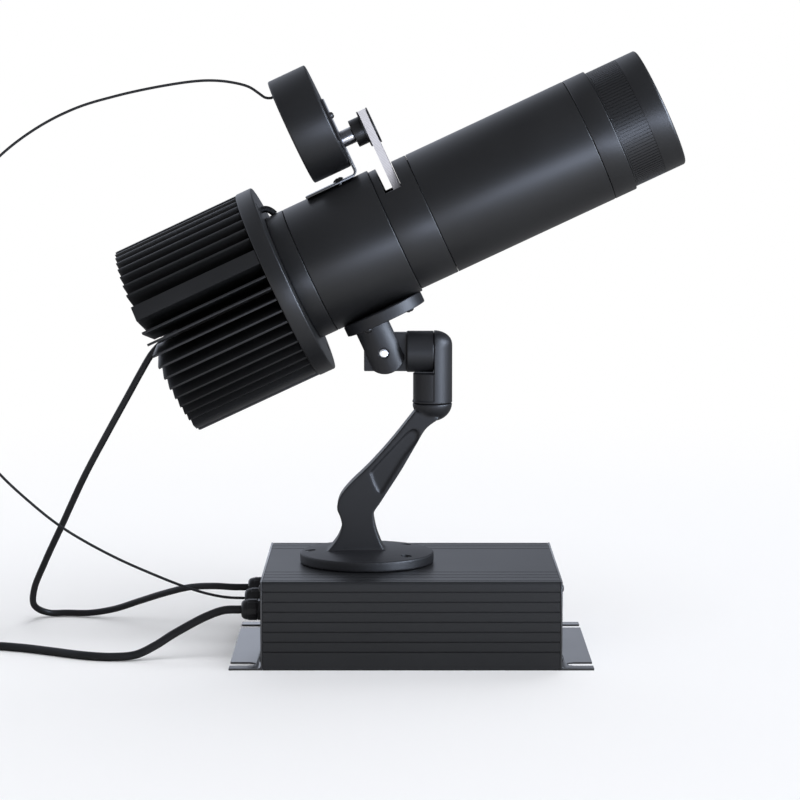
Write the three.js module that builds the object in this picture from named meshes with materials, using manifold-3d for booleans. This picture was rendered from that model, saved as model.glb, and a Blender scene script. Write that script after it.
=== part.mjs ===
// A gobo projector: a finned light head with a tube of lenses, a motor that turns the gobo by a toothed
// belt, a jointed die-cast arm, and the driver box that the arm stands on.
// Millimetres, +Z up. The origin is the middle of the driver box's underside, +X is the way the light goes,
// and the front of the box faces -Y.
import * as THREE from "three";
import { mergeVertices } from "three/addons/utils/BufferGeometryUtils.js";
import Module from "manifold-3d";

const wasm = await Module();
wasm.setup();

// Clearance between pieces that meet, how far a cutting shape runs past its work, and when corners are one.
const gap = 0.3;
const overrun = 1;
const weld = 0.0001;

// Driver box: a grooved aluminium extrusion between two bent end plates.
const boxLength = 236;
const boxDepth = 188;
const boxHeight = 70;
const caseWall = 2.5;
const plateThickness = 1.5;
const footReach = 25;

// Head: places along the optical axis are counted from the tilt pivot.
const headTilt = 25;
const saddleRise = 31.1;
const finRadius = 79.2;
const finLength = 106.1;
const ringWidth = 13.7;
const rearTubeRadius = 53;
const tubeStep = 1.7;
const focusStep = 1.9;
const collarLength = 15;
const rearTubeLength = 74.4;
const goboSectionLength = 32.4;
const barrelLength = 137.9;
const stepRingLength = 18.5;
const focusLength = 43.7;
const ringFrontX = -40.9;
const axisHeight = saddleRise + gap + rearTubeRadius;
const frontTubeRadius = rearTubeRadius - tubeStep;
const focusRadius = frontTubeRadius - focusStep;

// Arm: a flange on the box, a swan-necked casting and a cap under the pan joint.
const flangeX = -35.8;
const flangeRadius = 54.3;
const armReach = 53;
const panHeight = 200.4;
const rollRise = 41.4;
const pivotReach = 39.1;
const elbowRadius = 16.1;
const rollRadius = 16.2;
const panX = flangeX + armReach;
const pivotX = panX - pivotReach;
const pivotHeight = panHeight + rollRise;

// Cords.
const lampCordDiameter = 5.6;
const motorCordDiameter = 2.2;
const mainsCordDiameter = 6.6;

const turn = 2 * Math.PI;
const degree = Math.PI / 180;
const finely = 32;
const plainly = 24;
const coarsely = 10;

// Belt drive: the motor stands over the rear tube, trimmed to where the belt has a whole number of teeth.
const motorRadius = 44.3;
const motorLength = 32.6;
const bracketThickness = 1.8;
const motorStandoff = 6.5;
const shaftOffset = 22.1;
const toothPitch = 5.482;
const pulleyTeeth = 16;
const wheelTeeth = 32;
const beltWidth = 6.2;
const pulleyPitchRadius = (pulleyTeeth * toothPitch) / turn;
const wheelPitchRadius = (wheelTeeth * toothPitch) / turn;

// The belt's length with the shaft at a given height: two arcs and the straight runs that lean between them.
function beltLoop(rise) {
  const lean = Math.asin((wheelPitchRadius - pulleyPitchRadius) / rise);
  const top = pulleyPitchRadius * (Math.PI / 2 - lean);
  const bottom = wheelPitchRadius * (Math.PI / 2 + lean);
  return 2 * (top + rise * Math.cos(lean) + bottom);
}

const motorLow = rearTubeRadius + gap + bracketThickness + motorStandoff;
const untrimmedRise = motorLow + motorRadius - shaftOffset;
const beltTeeth = Math.round(beltLoop(untrimmedRise) / toothPitch);
const beltTrim = (beltTeeth * toothPitch - beltLoop(untrimmedRise)) / 2;
const shaftRise = untrimmedRise + beltTrim;
const motorRise = shaftRise + shaftOffset;

const finish = {
  anodised: [0x1d1f22, 0.45, 0.75],
  boxSkin: [0x2a2d33, 0.5, 0.7],
  casting: [0x2b2e36, 0.42, 0.6],
  steel: [0xc8c8cc, 0.28, 1],
  blackSteel: [0x17181a, 0.4, 0.8],
  plastic: [0x141517, 0.5, 0],
  rubber: [0x18191b, 0.6, 0],
  belt: [0xe6e6ee, 0.55, 0],
  glass: [0xdfe8ee, 0.05, 0],
  board: [0xe9ecec, 0.4, 0.1],
};

// A closed geometry as a solid that can be joined and cut.
function solid(geometry) {
  const bare = geometry.index ? geometry.toNonIndexed() : geometry.clone();
  for (const name of Object.keys(bare.attributes)) {
    if (name !== "position") bare.deleteAttribute(name);
  }
  const merged = mergeVertices(bare, weld);
  const kept = [];
  const index = merged.index.array;
  for (let i = 0; i < index.length; i += 3) {
    const [a, b, c] = [index[i], index[i + 1], index[i + 2]];
    if (a !== b && b !== c && c !== a) kept.push(a, b, c);
  }
  return new wasm.Manifold(
    new wasm.Mesh({
      numProp: 3,
      vertProperties: merged.attributes.position.array,
      triVerts: new Uint32Array(kept),
    }),
  );
}

// A solid as a named mesh with its finish.
function piece(name, [color, roughness, metalness], body) {
  const made = body.getMesh();
  const geometry = new THREE.BufferGeometry();
  const corners = new Float32Array(made.numVert * 3);
  for (let i = 0; i < made.numVert; i++) {
    const start = i * made.numProp;
    corners.set(made.vertProperties.subarray(start, start + 3), i * 3);
  }
  geometry.setAttribute("position", new THREE.BufferAttribute(corners, 3));
  geometry.setIndex(new THREE.BufferAttribute(made.triVerts, 1));
  const flat = geometry.toNonIndexed();
  flat.computeVertexNormals();
  const mesh = new THREE.Mesh(
    flat,
    new THREE.MeshStandardMaterial({ color, roughness, metalness }),
  );
  mesh.name = name;
  return mesh;
}

const axisX = new THREE.Vector3(1, 0, 0);
const axisY = new THREE.Vector3(0, 1, 0);
const axisZ = new THREE.Vector3(0, 0, 1);

// Turns a shape drawn in XY and raised along Z, or a revolve about Z, so that it runs along X or Y.
// Drawn x and y become Y and Z for alongX, and X and Z for alongY.
const alongX = (geometry) =>
  geometry.applyMatrix4(new THREE.Matrix4().makeBasis(axisY, axisZ, axisX));
const alongY = (geometry, depth) =>
  geometry.rotateX(Math.PI / 2).translate(0, depth, 0);

// A revolve about Z of a closed outline of [radius, height] points.
function revolve(outline, sides) {
  let area = 0;
  outline.forEach(([r, z], i) => {
    const [r2, z2] = outline[(i + 1) % outline.length];
    area += r * z2 - r2 * z;
  });
  const points = (area > 0 ? outline : [...outline].reverse()).map(
    ([r, z]) => new THREE.Vector2(r, z),
  );
  points.push(points[0].clone());
  return new THREE.LatheGeometry(points, sides).rotateX(Math.PI / 2);
}

const tube = (outer, inner, from, to, sides) =>
  revolve([[inner, from], [outer, from], [outer, to], [inner, to]], sides);
const disc = (radius, from, to, sides) =>
  revolve([[0, from], [radius, from], [radius, to], [0, to]], sides);

// A shape from [x, y] points, with holes from further lists, raised by a height.
function raised(points, height, holes = [], bevel = 0) {
  const toPath = (list, Kind) =>
    new Kind(list.map(([x, y]) => new THREE.Vector2(x, y)));
  const shape = toPath(points, THREE.Shape);
  shape.holes = holes.map((hole) => toPath(hole, THREE.Path));
  return new THREE.ExtrudeGeometry(shape, {
    depth: height - 2 * bevel,
    bevelEnabled: bevel > 0,
    bevelThickness: bevel,
    bevelSize: bevel,
    bevelOffset: -bevel,
    bevelSegments: 1,
    steps: 1,
  }).translate(0, 0, bevel);
}

function block(x0, x1, y0, y1, z0, z1) {
  return new THREE.BoxGeometry(x1 - x0, y1 - y0, z1 - z0).translate(
    (x0 + x1) / 2,
    (y0 + y1) / 2,
    (z0 + z1) / 2,
  );
}

// An arc of [x, y] points about a centre, from one angle to another in degrees.
function arc(cx, cy, radius, from, to, steps) {
  const points = [];
  for (let i = 0; i <= steps; i++) {
    const angle = (from + ((to - from) * i) / steps) * degree;
    points.push([cx + radius * Math.cos(angle), cy + radius * Math.sin(angle)]);
  }
  return points;
}

const root = new THREE.Group();
const head = new THREE.Group();
head.position.set(pivotX, 0, pivotHeight);
head.rotation.y = -headTilt * degree;
root.add(head);

// Driver case: one extrusion, drawn in its cross-section, with grooves cut by the die.
const grooveWidth = 1.3;
const grooveDepth = 1.1;
const frontGrooves = 7;
const frontGroovePitch = 7.93;
const frontGrooveDrop = 7.8;
const frontTopShares = [0.242, 0.1755, 0.117, 0.0372];
const backTopShares = [0.165, 0.0957, 0.0372];
const caseEdge = 1.2;
const caseHalf = boxLength / 2 - plateThickness - gap;

// The outline's points down one side wall and back over one half of the roof.
function grooved(points, along, across, place) {
  for (const [at, depth] of [
    [along - grooveWidth / 2, 0],
    [along - grooveWidth / 2, grooveDepth],
    [along + grooveWidth / 2, grooveDepth],
    [along + grooveWidth / 2, 0],
  ]) {
    points.push(place(at, across - depth));
  }
}

function caseOutline() {
  const half = boxDepth / 2;
  const points = [[-half, 0], [half, 0]];
  for (let i = frontGrooves - 1; i >= 0; i--) {
    const z = boxHeight - frontGrooveDrop - i * frontGroovePitch;
    grooved(points, z, half, (at, out) => [out, at]);
  }
  points.push([half, boxHeight - caseEdge], [half - caseEdge, boxHeight]);
  for (const share of [...backTopShares].reverse()) {
    grooved(points, share * boxDepth - half, boxHeight, (at, up) => [-at, up]);
  }
  for (const share of frontTopShares) {
    grooved(points, half - share * boxDepth, boxHeight, (at, up) => [-at, up]);
  }
  points.push([caseEdge - half, boxHeight], [-half, boxHeight - caseEdge]);
  for (let i = 0; i < frontGrooves; i++) {
    const z = boxHeight - frontGrooveDrop - i * frontGroovePitch;
    grooved(points, -z, half, (at, out) => [-out, -at]);
  }
  return points;
}

const flangeScrewRadius = 2;
const flangeScrewShares = [[-0.847, 0], [0.589, 0.527], [0.589, -0.527]];
const flangeScrews = flangeScrewShares.map(([x, y]) => [x * flangeRadius, y * flangeRadius]);
const screwLength = 14;

function driverCase() {
  const half = boxDepth / 2 - caseWall;
  const hollow = [
    [-half, caseWall],
    [-half, boxHeight - caseWall],
    [half, boxHeight - caseWall],
    [half, caseWall],
  ];
  let body = solid(
    alongX(raised(caseOutline(), 2 * caseHalf, [hollow])).translate(-caseHalf, 0, 0),
  );
  for (const [x, y] of flangeScrews) {
    const hole = disc(
      flangeScrewRadius + gap,
      boxHeight - caseWall - overrun,
      boxHeight + overrun,
      coarsely,
    );
    body = body.subtract(solid(hole.translate(flangeX + x, y, 0)));
  }
  return body;
}

root.add(piece("driver_case", finish.boxSkin, driverCase()));

// End plates: sheet bent to an L, with an open slot at each end of the foot.
const slotWidth = 13;
const slotDepth = 20.5;
const slotInset = 18;
const bendRadius = 2.5;
const glandHeight = 39.8;
const glandSpacing = 49;
const glandThreadRadius = 6;
const glandPlaces = { front: -glandSpacing, middle: 0, back: glandSpacing };

function endPlate(side) {
  const inner = boxLength / 2 - plateThickness;
  const outer = boxLength / 2;
  const bend = arc(
    outer + bendRadius,
    plateThickness + bendRadius,
    bendRadius,
    270,
    180,
    4,
  );
  const outline = [
    [inner, 0],
    [outer + footReach, 0],
    [outer + footReach, plateThickness],
    ...bend,
    [outer, boxHeight],
    [inner, boxHeight],
  ].map(([x, z]) => [side * x, z]);
  let body = solid(alongY(raised(outline, boxDepth), boxDepth / 2));
  const slotEnd = outer + footReach - slotDepth + slotWidth / 2;
  for (const end of [-1, 1]) {
    const y = end * (boxDepth / 2 - slotInset);
    const round = disc(slotWidth / 2, -overrun, plateThickness + overrun, coarsely);
    const straight = block(
      slotEnd,
      outer + footReach + overrun,
      y - slotWidth / 2,
      y + slotWidth / 2,
      -overrun,
      plateThickness + overrun,
    );
    if (side < 0) straight.rotateZ(Math.PI).translate(0, 2 * y, 0);
    body = body
      .subtract(solid(round.translate(side * slotEnd, y, 0)))
      .subtract(solid(straight));
  }
  return body;
}

root.add(piece("end_plate_right", finish.boxSkin, endPlate(1)));

let leftPlate = endPlate(-1);
for (const y of Object.values(glandPlaces)) {
  const from = -boxLength / 2 - overrun;
  const to = -boxLength / 2 + plateThickness + overrun;
  const drill = alongX(disc(glandThreadRadius + gap, from, to, coarsely));
  leftPlate = leftPlate.subtract(solid(drill.translate(0, y, glandHeight)));
}
root.add(piece("end_plate_left", finish.boxSkin, leftPlate));

// Inside the case: the constant-current driver, a lidded block on the floor of the case.
const driverLength = 128;
const driverDepth = 62;
const driverHeight = 34;
const driverY = 6;
const driverLid = 4;
const driverLow = caseWall + gap;

const driverBase = block(
  -driverLength / 2,
  driverLength / 2,
  driverY,
  driverY + driverDepth,
  driverLow,
  driverLow + driverHeight - driverLid,
);
const driverCap = block(
  driverLid - driverLength / 2,
  driverLength / 2 - driverLid,
  driverY + driverLid,
  driverY + driverDepth - driverLid,
  driverLow + driverHeight - 2 * driverLid,
  driverLow + driverHeight,
);
root.add(piece("lamp_driver", finish.casting, solid(driverBase).add(solid(driverCap))));

// Cable glands: a threaded body with a hexagon against the plate, and a dome nut that grips the cord.
const glandReach = 17.3;
const glandHexRadius = 8.9;
const glandHexLength = 4;
const glandNutRadius = 8.5;
const glandStubRadius = 5.2;
const glandStubLength = 6;
const glandInside = 9;
const glandNutBore = 5.5;
const glandDome = 3;

for (const [place, y] of Object.entries(glandPlaces)) {
  const face = -boxLength / 2 - gap;
  const hexEnd = face - glandHexLength;
  const nutStart = hexEnd - gap;
  const nutEnd = -boxLength / 2 - glandReach;
  const hex = alongX(disc(glandHexRadius, hexEnd, face, 6));
  const thread = alongX(
    disc(
      glandThreadRadius,
      face - glandHexLength / 2,
      -boxLength / 2 + plateThickness + glandInside,
      coarsely,
    ),
  );
  const stub = alongX(
    disc(glandStubRadius, hexEnd - glandStubLength, face - glandHexLength / 2, coarsely),
  );
  const body = solid(hex)
    .add(solid(thread))
    .add(solid(stub))
    .translate([0, y, glandHeight]);
  root.add(piece("gland_body_" + place, finish.plastic, body));
  const dome = arc(
    glandNutRadius - glandDome,
    nutEnd + glandDome,
    glandDome,
    270,
    360,
    3,
  );
  const boreEnd = hexEnd - glandStubLength - gap;
  const nut = alongX(
    revolve(
      [
        [0, nutEnd],
        ...dome,
        [glandNutRadius, nutStart],
        [glandNutBore, nutStart],
        [glandNutBore, boreEnd],
        [0, boreEnd],
      ],
      coarsely,
    ),
  );
  root.add(
    piece("gland_nut_" + place, finish.plastic, solid(nut).translate([0, y, glandHeight])),
  );
}

// Arm: a round flange with a low dome, a flat-sided swan neck and the bowl under the pan joint.
// The neck's edges are given as shares of its reach in X and its rise in Z.
const flangeRim = 8.3;
const flangeDome = 2.8;
const flangeEdge = 1.2;
const armThickness = 24;
const armBevel = 1.2;
const bowlDepth = 15;
const pocketDepth = 1.6;
const flangeTop = boxHeight + gap + flangeRim;
const armRise = panHeight - flangeTop;
const leftEdgeShares = [
  [-0.66, -0.015],
  [-0.57, 0.028],
  [-0.438, 0.107],
  [-0.381, 0.188],
  [-0.406, 0.244],
  [-0.453, 0.299],
  [-0.421, 0.368],
  [-0.311, 0.438],
  [0.064, 0.601],
  [0.375, 0.753],
  [0.736, 0.951],
];
const rightEdgeShares = [
  [0.345, -0.015],
  [0.262, 0.028],
  [0.189, 0.094],
  [0.125, 0.188],
  [0.109, 0.272],
  [0.189, 0.327],
  [0.313, 0.411],
  [0.532, 0.56],
  [0.751, 0.725],
  [0.904, 0.834],
  [1.1, 0.9],
];
const pocketShares = [
  [0.055, 0.545],
  [0.115, 0.468],
  [0.21, 0.405],
  [0.3, 0.46],
  [0.56, 0.64],
  [0.79, 0.78],
  [0.76, 0.822],
  [0.69, 0.828],
  [0.36, 0.69],
];

const edgeSteps = 20;
const pocketSteps = 18;

function neckPoint([across, up]) {
  return new THREE.Vector2(flangeX + across * armReach, flangeTop + up * armRise);
}

function smoothEdge(shares, steps) {
  return new THREE.SplineCurve(shares.map(neckPoint)).getPoints(steps);
}

const capTop = panHeight - gap / 2;

function flangeOutline() {
  const rim = flangeTop;
  const edge = flangeRadius - flangeEdge;
  const low = boxHeight + gap;
  const dome = [];
  const steps = 3;
  for (let i = 0; i <= steps; i++) {
    const share = 1 - i / steps;
    dome.push([edge * share, rim + flangeDome * (1 - share * share)]);
  }
  return [[0, low], [flangeRadius, low], [flangeRadius, rim - flangeEdge], ...dome];
}

const panPinRadius = 4;
const panPinLength = 30;
const panPinDepth = 12;
const screwHeadRadius = 4;
const screwHeadDepth = 2.4;
const screwSeat = flangeTop - screwHeadDepth;

function mountArm() {
  const left = smoothEdge(leftEdgeShares, edgeSteps);
  const right = smoothEdge(rightEdgeShares, edgeSteps).reverse();
  const outline = [...left, ...right].map((p) => [p.x, p.y]);
  const neck = alongY(raised(outline, armThickness, [], armBevel), armThickness / 2);
  const bowl = arc(0, 0, 1, 270, 360, 6).map(([x, z]) => [
    elbowRadius * x,
    capTop + bowlDepth * z,
  ]);
  const cap = revolve([[0, capTop], ...bowl], plainly).translate(panX, 0, 0);
  const flange = revolve(flangeOutline(), finely).translate(flangeX, 0, 0);
  let body = solid(flange).add(solid(neck)).add(solid(cap));
  const pocket = smoothEdge([...pocketShares, pocketShares[0]], pocketSteps)
    .slice(0, -1)
    .map((p) => [p.x, p.y]);
  for (const side of [-1, 1]) {
    const sink = raised(pocket, pocketDepth + overrun);
    const start = side < 0 ? -armThickness / 2 + pocketDepth : armThickness / 2 + overrun;
    body = body.subtract(solid(alongY(sink, start)));
  }
  for (const [x, y] of flangeScrews) {
    const drill = disc(
      flangeScrewRadius + gap,
      boxHeight - overrun,
      flangeTop + flangeDome + overrun,
      coarsely,
    );
    const sink = disc(
      screwHeadRadius + gap,
      screwSeat - gap,
      flangeTop + flangeDome + overrun,
      coarsely,
    );
    body = body
      .subtract(solid(drill.translate(flangeX + x, y, 0)))
      .subtract(solid(sink.translate(flangeX + x, y, 0)));
  }
  const pinHole = disc(
    panPinRadius + gap,
    panHeight - panPinDepth - gap,
    panHeight + overrun,
    coarsely,
  );
  return body.subtract(solid(pinHole.translate(panX, 0, 0)));
}

// Flange screws: countersunk, with a socket, through the flange into the roof of the case.
const socketRadius = 1.7;
const socketDepth = 1.4;

root.add(piece("mount_arm", finish.casting, mountArm()));

flangeScrews.forEach(([x, y], i) => {
  const head = disc(screwHeadRadius, screwSeat, screwSeat + screwHeadDepth, coarsely);
  const shank = disc(
    flangeScrewRadius,
    screwSeat - screwLength,
    screwSeat + screwHeadDepth / 2,
    coarsely,
  );
  const socket = disc(
    socketRadius,
    screwSeat + screwHeadDepth - socketDepth,
    screwSeat + screwHeadDepth + overrun,
    6,
  );
  const screw = solid(head).add(solid(shank)).subtract(solid(socket));
  root.add(
    piece("flange_screw_" + (i + 1), finish.blackSteel, screw.translate([flangeX + x, y, 0])),
  );
});

// Pan pin: stands in the bowl of the arm, and the elbow turns on it.
const panPin = disc(
  panPinRadius,
  panHeight - panPinDepth,
  panHeight - panPinDepth + panPinLength,
  coarsely,
).translate(panX, 0, 0);
root.add(piece("pan_pin", finish.steel, solid(panPin)));

// Elbow: a domed upright cylinder, cut away for the roll cylinder that lies against its flat.
const shoulderRise = 10;
const elbowDome = 7.3;
const rollFaceInset = 1.3;
const rollFaceX = panX + rollFaceInset;
const seatClearance = 0.5;
const elbowBase = panHeight + gap / 2;
const rollHeight = pivotHeight;
const rollPinRadius = 4;
const rollPinLength = 24;
const rollPinDepth = 10;

function elbow() {
  const top = rollHeight + shoulderRise;
  const dome = arc(0, 0, 1, 0, 90, 6).map(([x, z]) => [
    elbowRadius * x,
    top + elbowDome * z,
  ]);
  const upright = revolve([[0, elbowBase], [elbowRadius, elbowBase], ...dome], plainly);
  const seat = rollHeight - rollRadius - seatClearance;
  const away = block(
    panX - elbowRadius - overrun,
    rollFaceX,
    -elbowRadius - overrun,
    elbowRadius + overrun,
    seat,
    top + elbowDome + overrun,
  );
  const panHole = disc(
    panPinRadius + gap,
    elbowBase - overrun,
    panHeight - panPinDepth + panPinLength + gap,
    coarsely,
  );
  const rollHole = alongX(
    disc(rollPinRadius + gap, rollFaceX - overrun, rollFaceX + rollPinDepth + gap, coarsely),
  );
  return solid(upright.translate(panX, 0, 0))
    .subtract(solid(away))
    .subtract(solid(panHole.translate(panX, 0, 0)))
    .subtract(solid(rollHole.translate(0, 0, rollHeight)));
}

root.add(piece("elbow", finish.casting, elbow()));

const rollPin = alongX(
  disc(
    rollPinRadius,
    rollFaceX + rollPinDepth - rollPinLength,
    rollFaceX + rollPinDepth,
    coarsely,
  ),
).translate(0, 0, rollHeight);
root.add(piece("roll_pin", finish.steel, solid(rollPin)));

// Swivel: the lying cylinder of the roll joint, milled to a flat tongue for the tilt joint.
const tongueHalfLength = 16;
const tongueHalfHeight = 15.3;
const tongueThickness = 16;
const tiltBoltRadius = 3;
const rollBarrelLength = 21.5;
const rollEndX = rollFaceX - gap - rollBarrelLength;

function swivel() {
  const barrel = alongX(disc(rollRadius, rollEndX, rollFaceX - gap, plainly));
  const tongue = block(
    pivotX - tongueHalfLength,
    rollEndX + overrun,
    -tongueThickness / 2,
    tongueThickness / 2,
    -tongueHalfHeight,
    tongueHalfHeight,
  );
  const pinHole = alongX(
    disc(
      rollPinRadius + gap,
      rollFaceX + rollPinDepth - rollPinLength - gap,
      rollFaceX + overrun,
      coarsely,
    ),
  );
  const boltHole = alongY(
    disc(tiltBoltRadius + gap, 0, tongueThickness + 2 * overrun, coarsely),
    tongueThickness / 2 + overrun,
  ).translate(pivotX, 0, 0);
  return solid(barrel)
    .add(solid(tongue))
    .subtract(solid(pinHole))
    .subtract(solid(boltHole))
    .translate([0, 0, rollHeight]);
}

root.add(piece("swivel_block", finish.casting, swivel()));

// Head bracket: a round plate with a saddle to the tube, and the forked knuckle below it.
const saddlePlateX = 13;
const saddlePlateRadius = 34.1;
const saddlePlateThickness = 8;
const saddlePlateEdge = 1;
const saddleLength = 52;
const saddleWidth = 50;
const knuckleX = 1.2;
const knuckleRadius = 15;
const knuckleBottom = 16.6;
const forkNeck = 0.8;
const bracketScrewRadius = 2;
const bracketScrewHeadRadius = 4;
const bracketScrewHeadHeight = 3.1;
const bracketScrewLength = 16;
const bracketScrewShares = [[0.592, 0], [-0.469, 0.645], [-0.469, -0.645]];
const bracketScrews = bracketScrewShares.map(([x, y]) => [
  saddlePlateX + x * saddlePlateRadius,
  y * saddlePlateRadius,
]);
const boltHeadRadius = 4.6;
const boltHeadHeight = 3.4;
const boltHeadSink = 2.6;
const plateTop = axisHeight - rearTubeRadius - gap;
const plateBottom = plateTop - saddlePlateThickness;
const forkTop = plateBottom - forkNeck;

function headBracket() {
  const edge = saddlePlateEdge;
  const plate = revolve(
    [
      [0, plateBottom],
      [saddlePlateRadius - edge, plateBottom],
      [saddlePlateRadius, plateBottom + edge],
      [saddlePlateRadius, plateTop],
      [0, plateTop],
    ],
    finely,
  ).translate(saddlePlateX, 0, 0);
  const saddleSide = saddleWidth / 2;
  const rearRadius = rearTubeRadius + gap;
  const saddleTop = axisHeight - Math.sqrt(rearRadius ** 2 - saddleSide ** 2);
  const saddle = block(
    saddlePlateX - saddleLength / 2,
    saddlePlateX + saddleLength / 2,
    -saddleSide,
    saddleSide,
    plateTop - overrun,
    saddleTop,
  );
  const tubeRoom = alongX(
    disc(
      rearRadius,
      saddlePlateX - saddleLength,
      saddlePlateX + saddleLength,
      finely,
    ),
  ).translate(0, 0, axisHeight);
  const round = arc(0, 0, knuckleBottom, -90, -24, 6);
  const reach = Math.sqrt(knuckleBottom ** 2 - knuckleRadius ** 2);
  const knuckle = revolve(
    [...round.slice(0, -1), [knuckleRadius, -reach], [knuckleRadius, plateBottom + overrun],
      [0, plateBottom + overrun]],
    plainly,
  ).translate(knuckleX, 0, 0);
  const fork = block(
    -saddlePlateRadius,
    saddlePlateRadius,
    -tongueThickness / 2 - gap,
    tongueThickness / 2 + gap,
    -knuckleBottom - overrun,
    forkTop,
  );
  const bolt = alongY(
    disc(tiltBoltRadius + gap, 0, 2 * knuckleRadius + 2 * overrun, coarsely),
    knuckleRadius + overrun,
  );
  const sinkDepth = boltHeadSink + overrun;
  const nearSink = alongY(
    disc(boltHeadRadius + gap, 0, sinkDepth, coarsely),
    -knuckleRadius + boltHeadSink,
  );
  const farSink = alongY(
    disc(boltHeadRadius + gap, 0, sinkDepth, coarsely),
    knuckleRadius + overrun,
  );
  let body = solid(plate)
    .add(solid(saddle))
    .add(solid(knuckle))
    .subtract(solid(tubeRoom))
    .subtract(solid(fork))
    .subtract(solid(bolt))
    .subtract(solid(nearSink))
    .subtract(solid(farSink));
  for (const [x, y] of bracketScrews) {
    const drill = disc(
      bracketScrewRadius + gap,
      plateBottom - overrun,
      saddleTop + overrun,
      coarsely,
    );
    body = body.subtract(solid(drill.translate(x, y, 0)));
  }
  return body;
}

head.add(piece("head_bracket", finish.casting, headBracket()));

// Tilt bolt and nut: the bolt's socket head sits in the near cheek and the nut in the far one.
const nutThickness = 3;

function tiltBolt() {
  const headStart = -knuckleRadius + boltHeadSink - gap;
  const shankEnd = knuckleRadius - gap;
  const boltHead = disc(boltHeadRadius, 0, boltHeadHeight, coarsely);
  const socket = disc(socketRadius, boltHeadHeight - socketDepth, boltHeadHeight + overrun, 6);
  const shank = disc(tiltBoltRadius, headStart - shankEnd, overrun, coarsely);
  return solid(alongY(boltHead, headStart))
    .subtract(solid(alongY(socket, headStart)))
    .add(solid(alongY(shank, headStart)));
}

head.add(piece("tilt_bolt", finish.steel, tiltBolt()));
const tiltNut = disc(boltHeadRadius, 0, nutThickness, 6);
const nutBore = disc(tiltBoltRadius + gap, -overrun, nutThickness + overrun, coarsely);
const nutPlace = knuckleRadius - boltHeadSink + gap + nutThickness;
head.add(
  piece(
    "tilt_nut",
    finish.steel,
    solid(alongY(tiltNut, nutPlace)).subtract(solid(alongY(nutBore, nutPlace))),
  ),
);

bracketScrews.forEach(([x, y], i) => {
  const top = plateBottom - gap;
  const dome = arc(0, 0, 1, 0, -90, 3).map(([r, z]) => [
    bracketScrewHeadRadius * r,
    top + bracketScrewHeadHeight * z,
  ]);
  const screwHead = revolve([[0, top], ...dome], coarsely);
  const shank = disc(
    bracketScrewRadius,
    top - bracketScrewHeadHeight / 2,
    top + bracketScrewLength,
    coarsely,
  );
  head.add(
    piece(
      "bracket_screw_" + (i + 1),
      finish.steel,
      solid(screwHead).add(solid(shank)).translate([x, y, 0]),
    ),
  );
});

// Places of the tube's sections, from the ring forwards.
const finFrontX = ringFrontX - ringWidth - gap;
const finRearX = finFrontX - finLength;
const collarStart = ringFrontX + gap;
const rearTubeStart = collarStart + collarLength + gap;
const goboStart = rearTubeStart + rearTubeLength + gap;
const barrelStart = goboStart + goboSectionLength + gap;
const stepStart = barrelStart + barrelLength + gap;
const focusStart = stepStart + stepRingLength + gap;
const rearWall = 3.4;
const frontWall = 3;

const light = new THREE.Group();
light.position.set(0, 0, axisHeight);
head.add(light);

// Heatsink: a sunflower extrusion. Four broad bands stand between runs of thin fins that taper inwards,
// all on a small core that stops short of the rear end.
const finsInRun = 10;
const bands = 4;
const firstBandAngle = 157.5;
const finPitchAngle = 7.26;
const finTipThickness = 2;
const finRootThickness = 1.1;
const bandTipWidth = 12.4;
const bandRootWidth = 9;
const coreRadius = 22;
const coreRecess = 20;
const cordBore = 5;

// One fin's four corners, root to tip and back, at an angle in degrees.
function finCorners(angle, rootWidth, tipWidth) {
  const out = new THREE.Vector2(Math.cos(angle * degree), Math.sin(angle * degree));
  const side = new THREE.Vector2(-out.y, out.x);
  const corner = (radius, width) => {
    const along = Math.sqrt(radius ** 2 - width ** 2 / 4);
    return [along * out.x + (width / 2) * side.x, along * out.y + (width / 2) * side.y];
  };
  return [
    corner(coreRadius, -rootWidth),
    corner(finRadius, -tipWidth),
    corner(finRadius, tipWidth),
    corner(coreRadius, rootWidth),
  ];
}

function heatsink() {
  const outline = [];
  for (let band = 0; band < bands; band++) {
    const centre = firstBandAngle + (band * 360) / bands;
    outline.push(...finCorners(centre, bandRootWidth, bandTipWidth));
    const middle = centre + 180 / bands;
    for (let i = 0; i < finsInRun; i++) {
      const angle = middle + (i - (finsInRun - 1) / 2) * finPitchAngle;
      outline.push(...finCorners(angle, finRootThickness, finTipThickness));
    }
  }
  const fins = alongX(raised(outline, finLength)).translate(finRearX, 0, 0);
  const recess = alongX(
    disc(coreRadius + gap, finRearX - overrun, finRearX + coreRecess, plainly),
  );
  const bore = alongX(disc(cordBore, finRearX, finFrontX + overrun, coarsely));
  return solid(fins).subtract(solid(recess)).subtract(solid(bore));
}

light.add(piece("heatsink", finish.anodised, heatsink()));

// Rear grommet: a rubber bush in the core, where the lamp cord goes in.
const grommetFlange = 7;
const grommetFlangeThickness = 2.5;
const grommetLength = 12;
const grommetTail = 3;
const grommetTailWall = 0.5;
const grommetRootWall = 1;
const coreRearX = finRearX + coreRecess;
const lampExitX = coreRearX - gap - grommetFlangeThickness - grommetTail;

const grommet = alongX(
  revolve(
    [
      [0, lampExitX],
      [lampCordDiameter / 2 + grommetTailWall, lampExitX],
      [lampCordDiameter / 2 + grommetRootWall, coreRearX - gap - grommetFlangeThickness],
      [grommetFlange, coreRearX - gap - grommetFlangeThickness],
      [grommetFlange, coreRearX - gap],
      [cordBore - gap, coreRearX - gap],
      [cordBore - gap, coreRearX + grommetLength],
      [0, coreRearX + grommetLength],
    ],
    coarsely,
  ),
);
light.add(piece("rear_grommet", finish.rubber, solid(grommet)));

// Ring: the flat front ring that the fins stand behind and the lens tube is bolted to.
const ringStandout = 0.6;
const ringLip = 7;
const ringEdge = 0.8;
const ringRadius = finRadius + ringStandout;
const ringBore = rearTubeRadius - ringLip;

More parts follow.
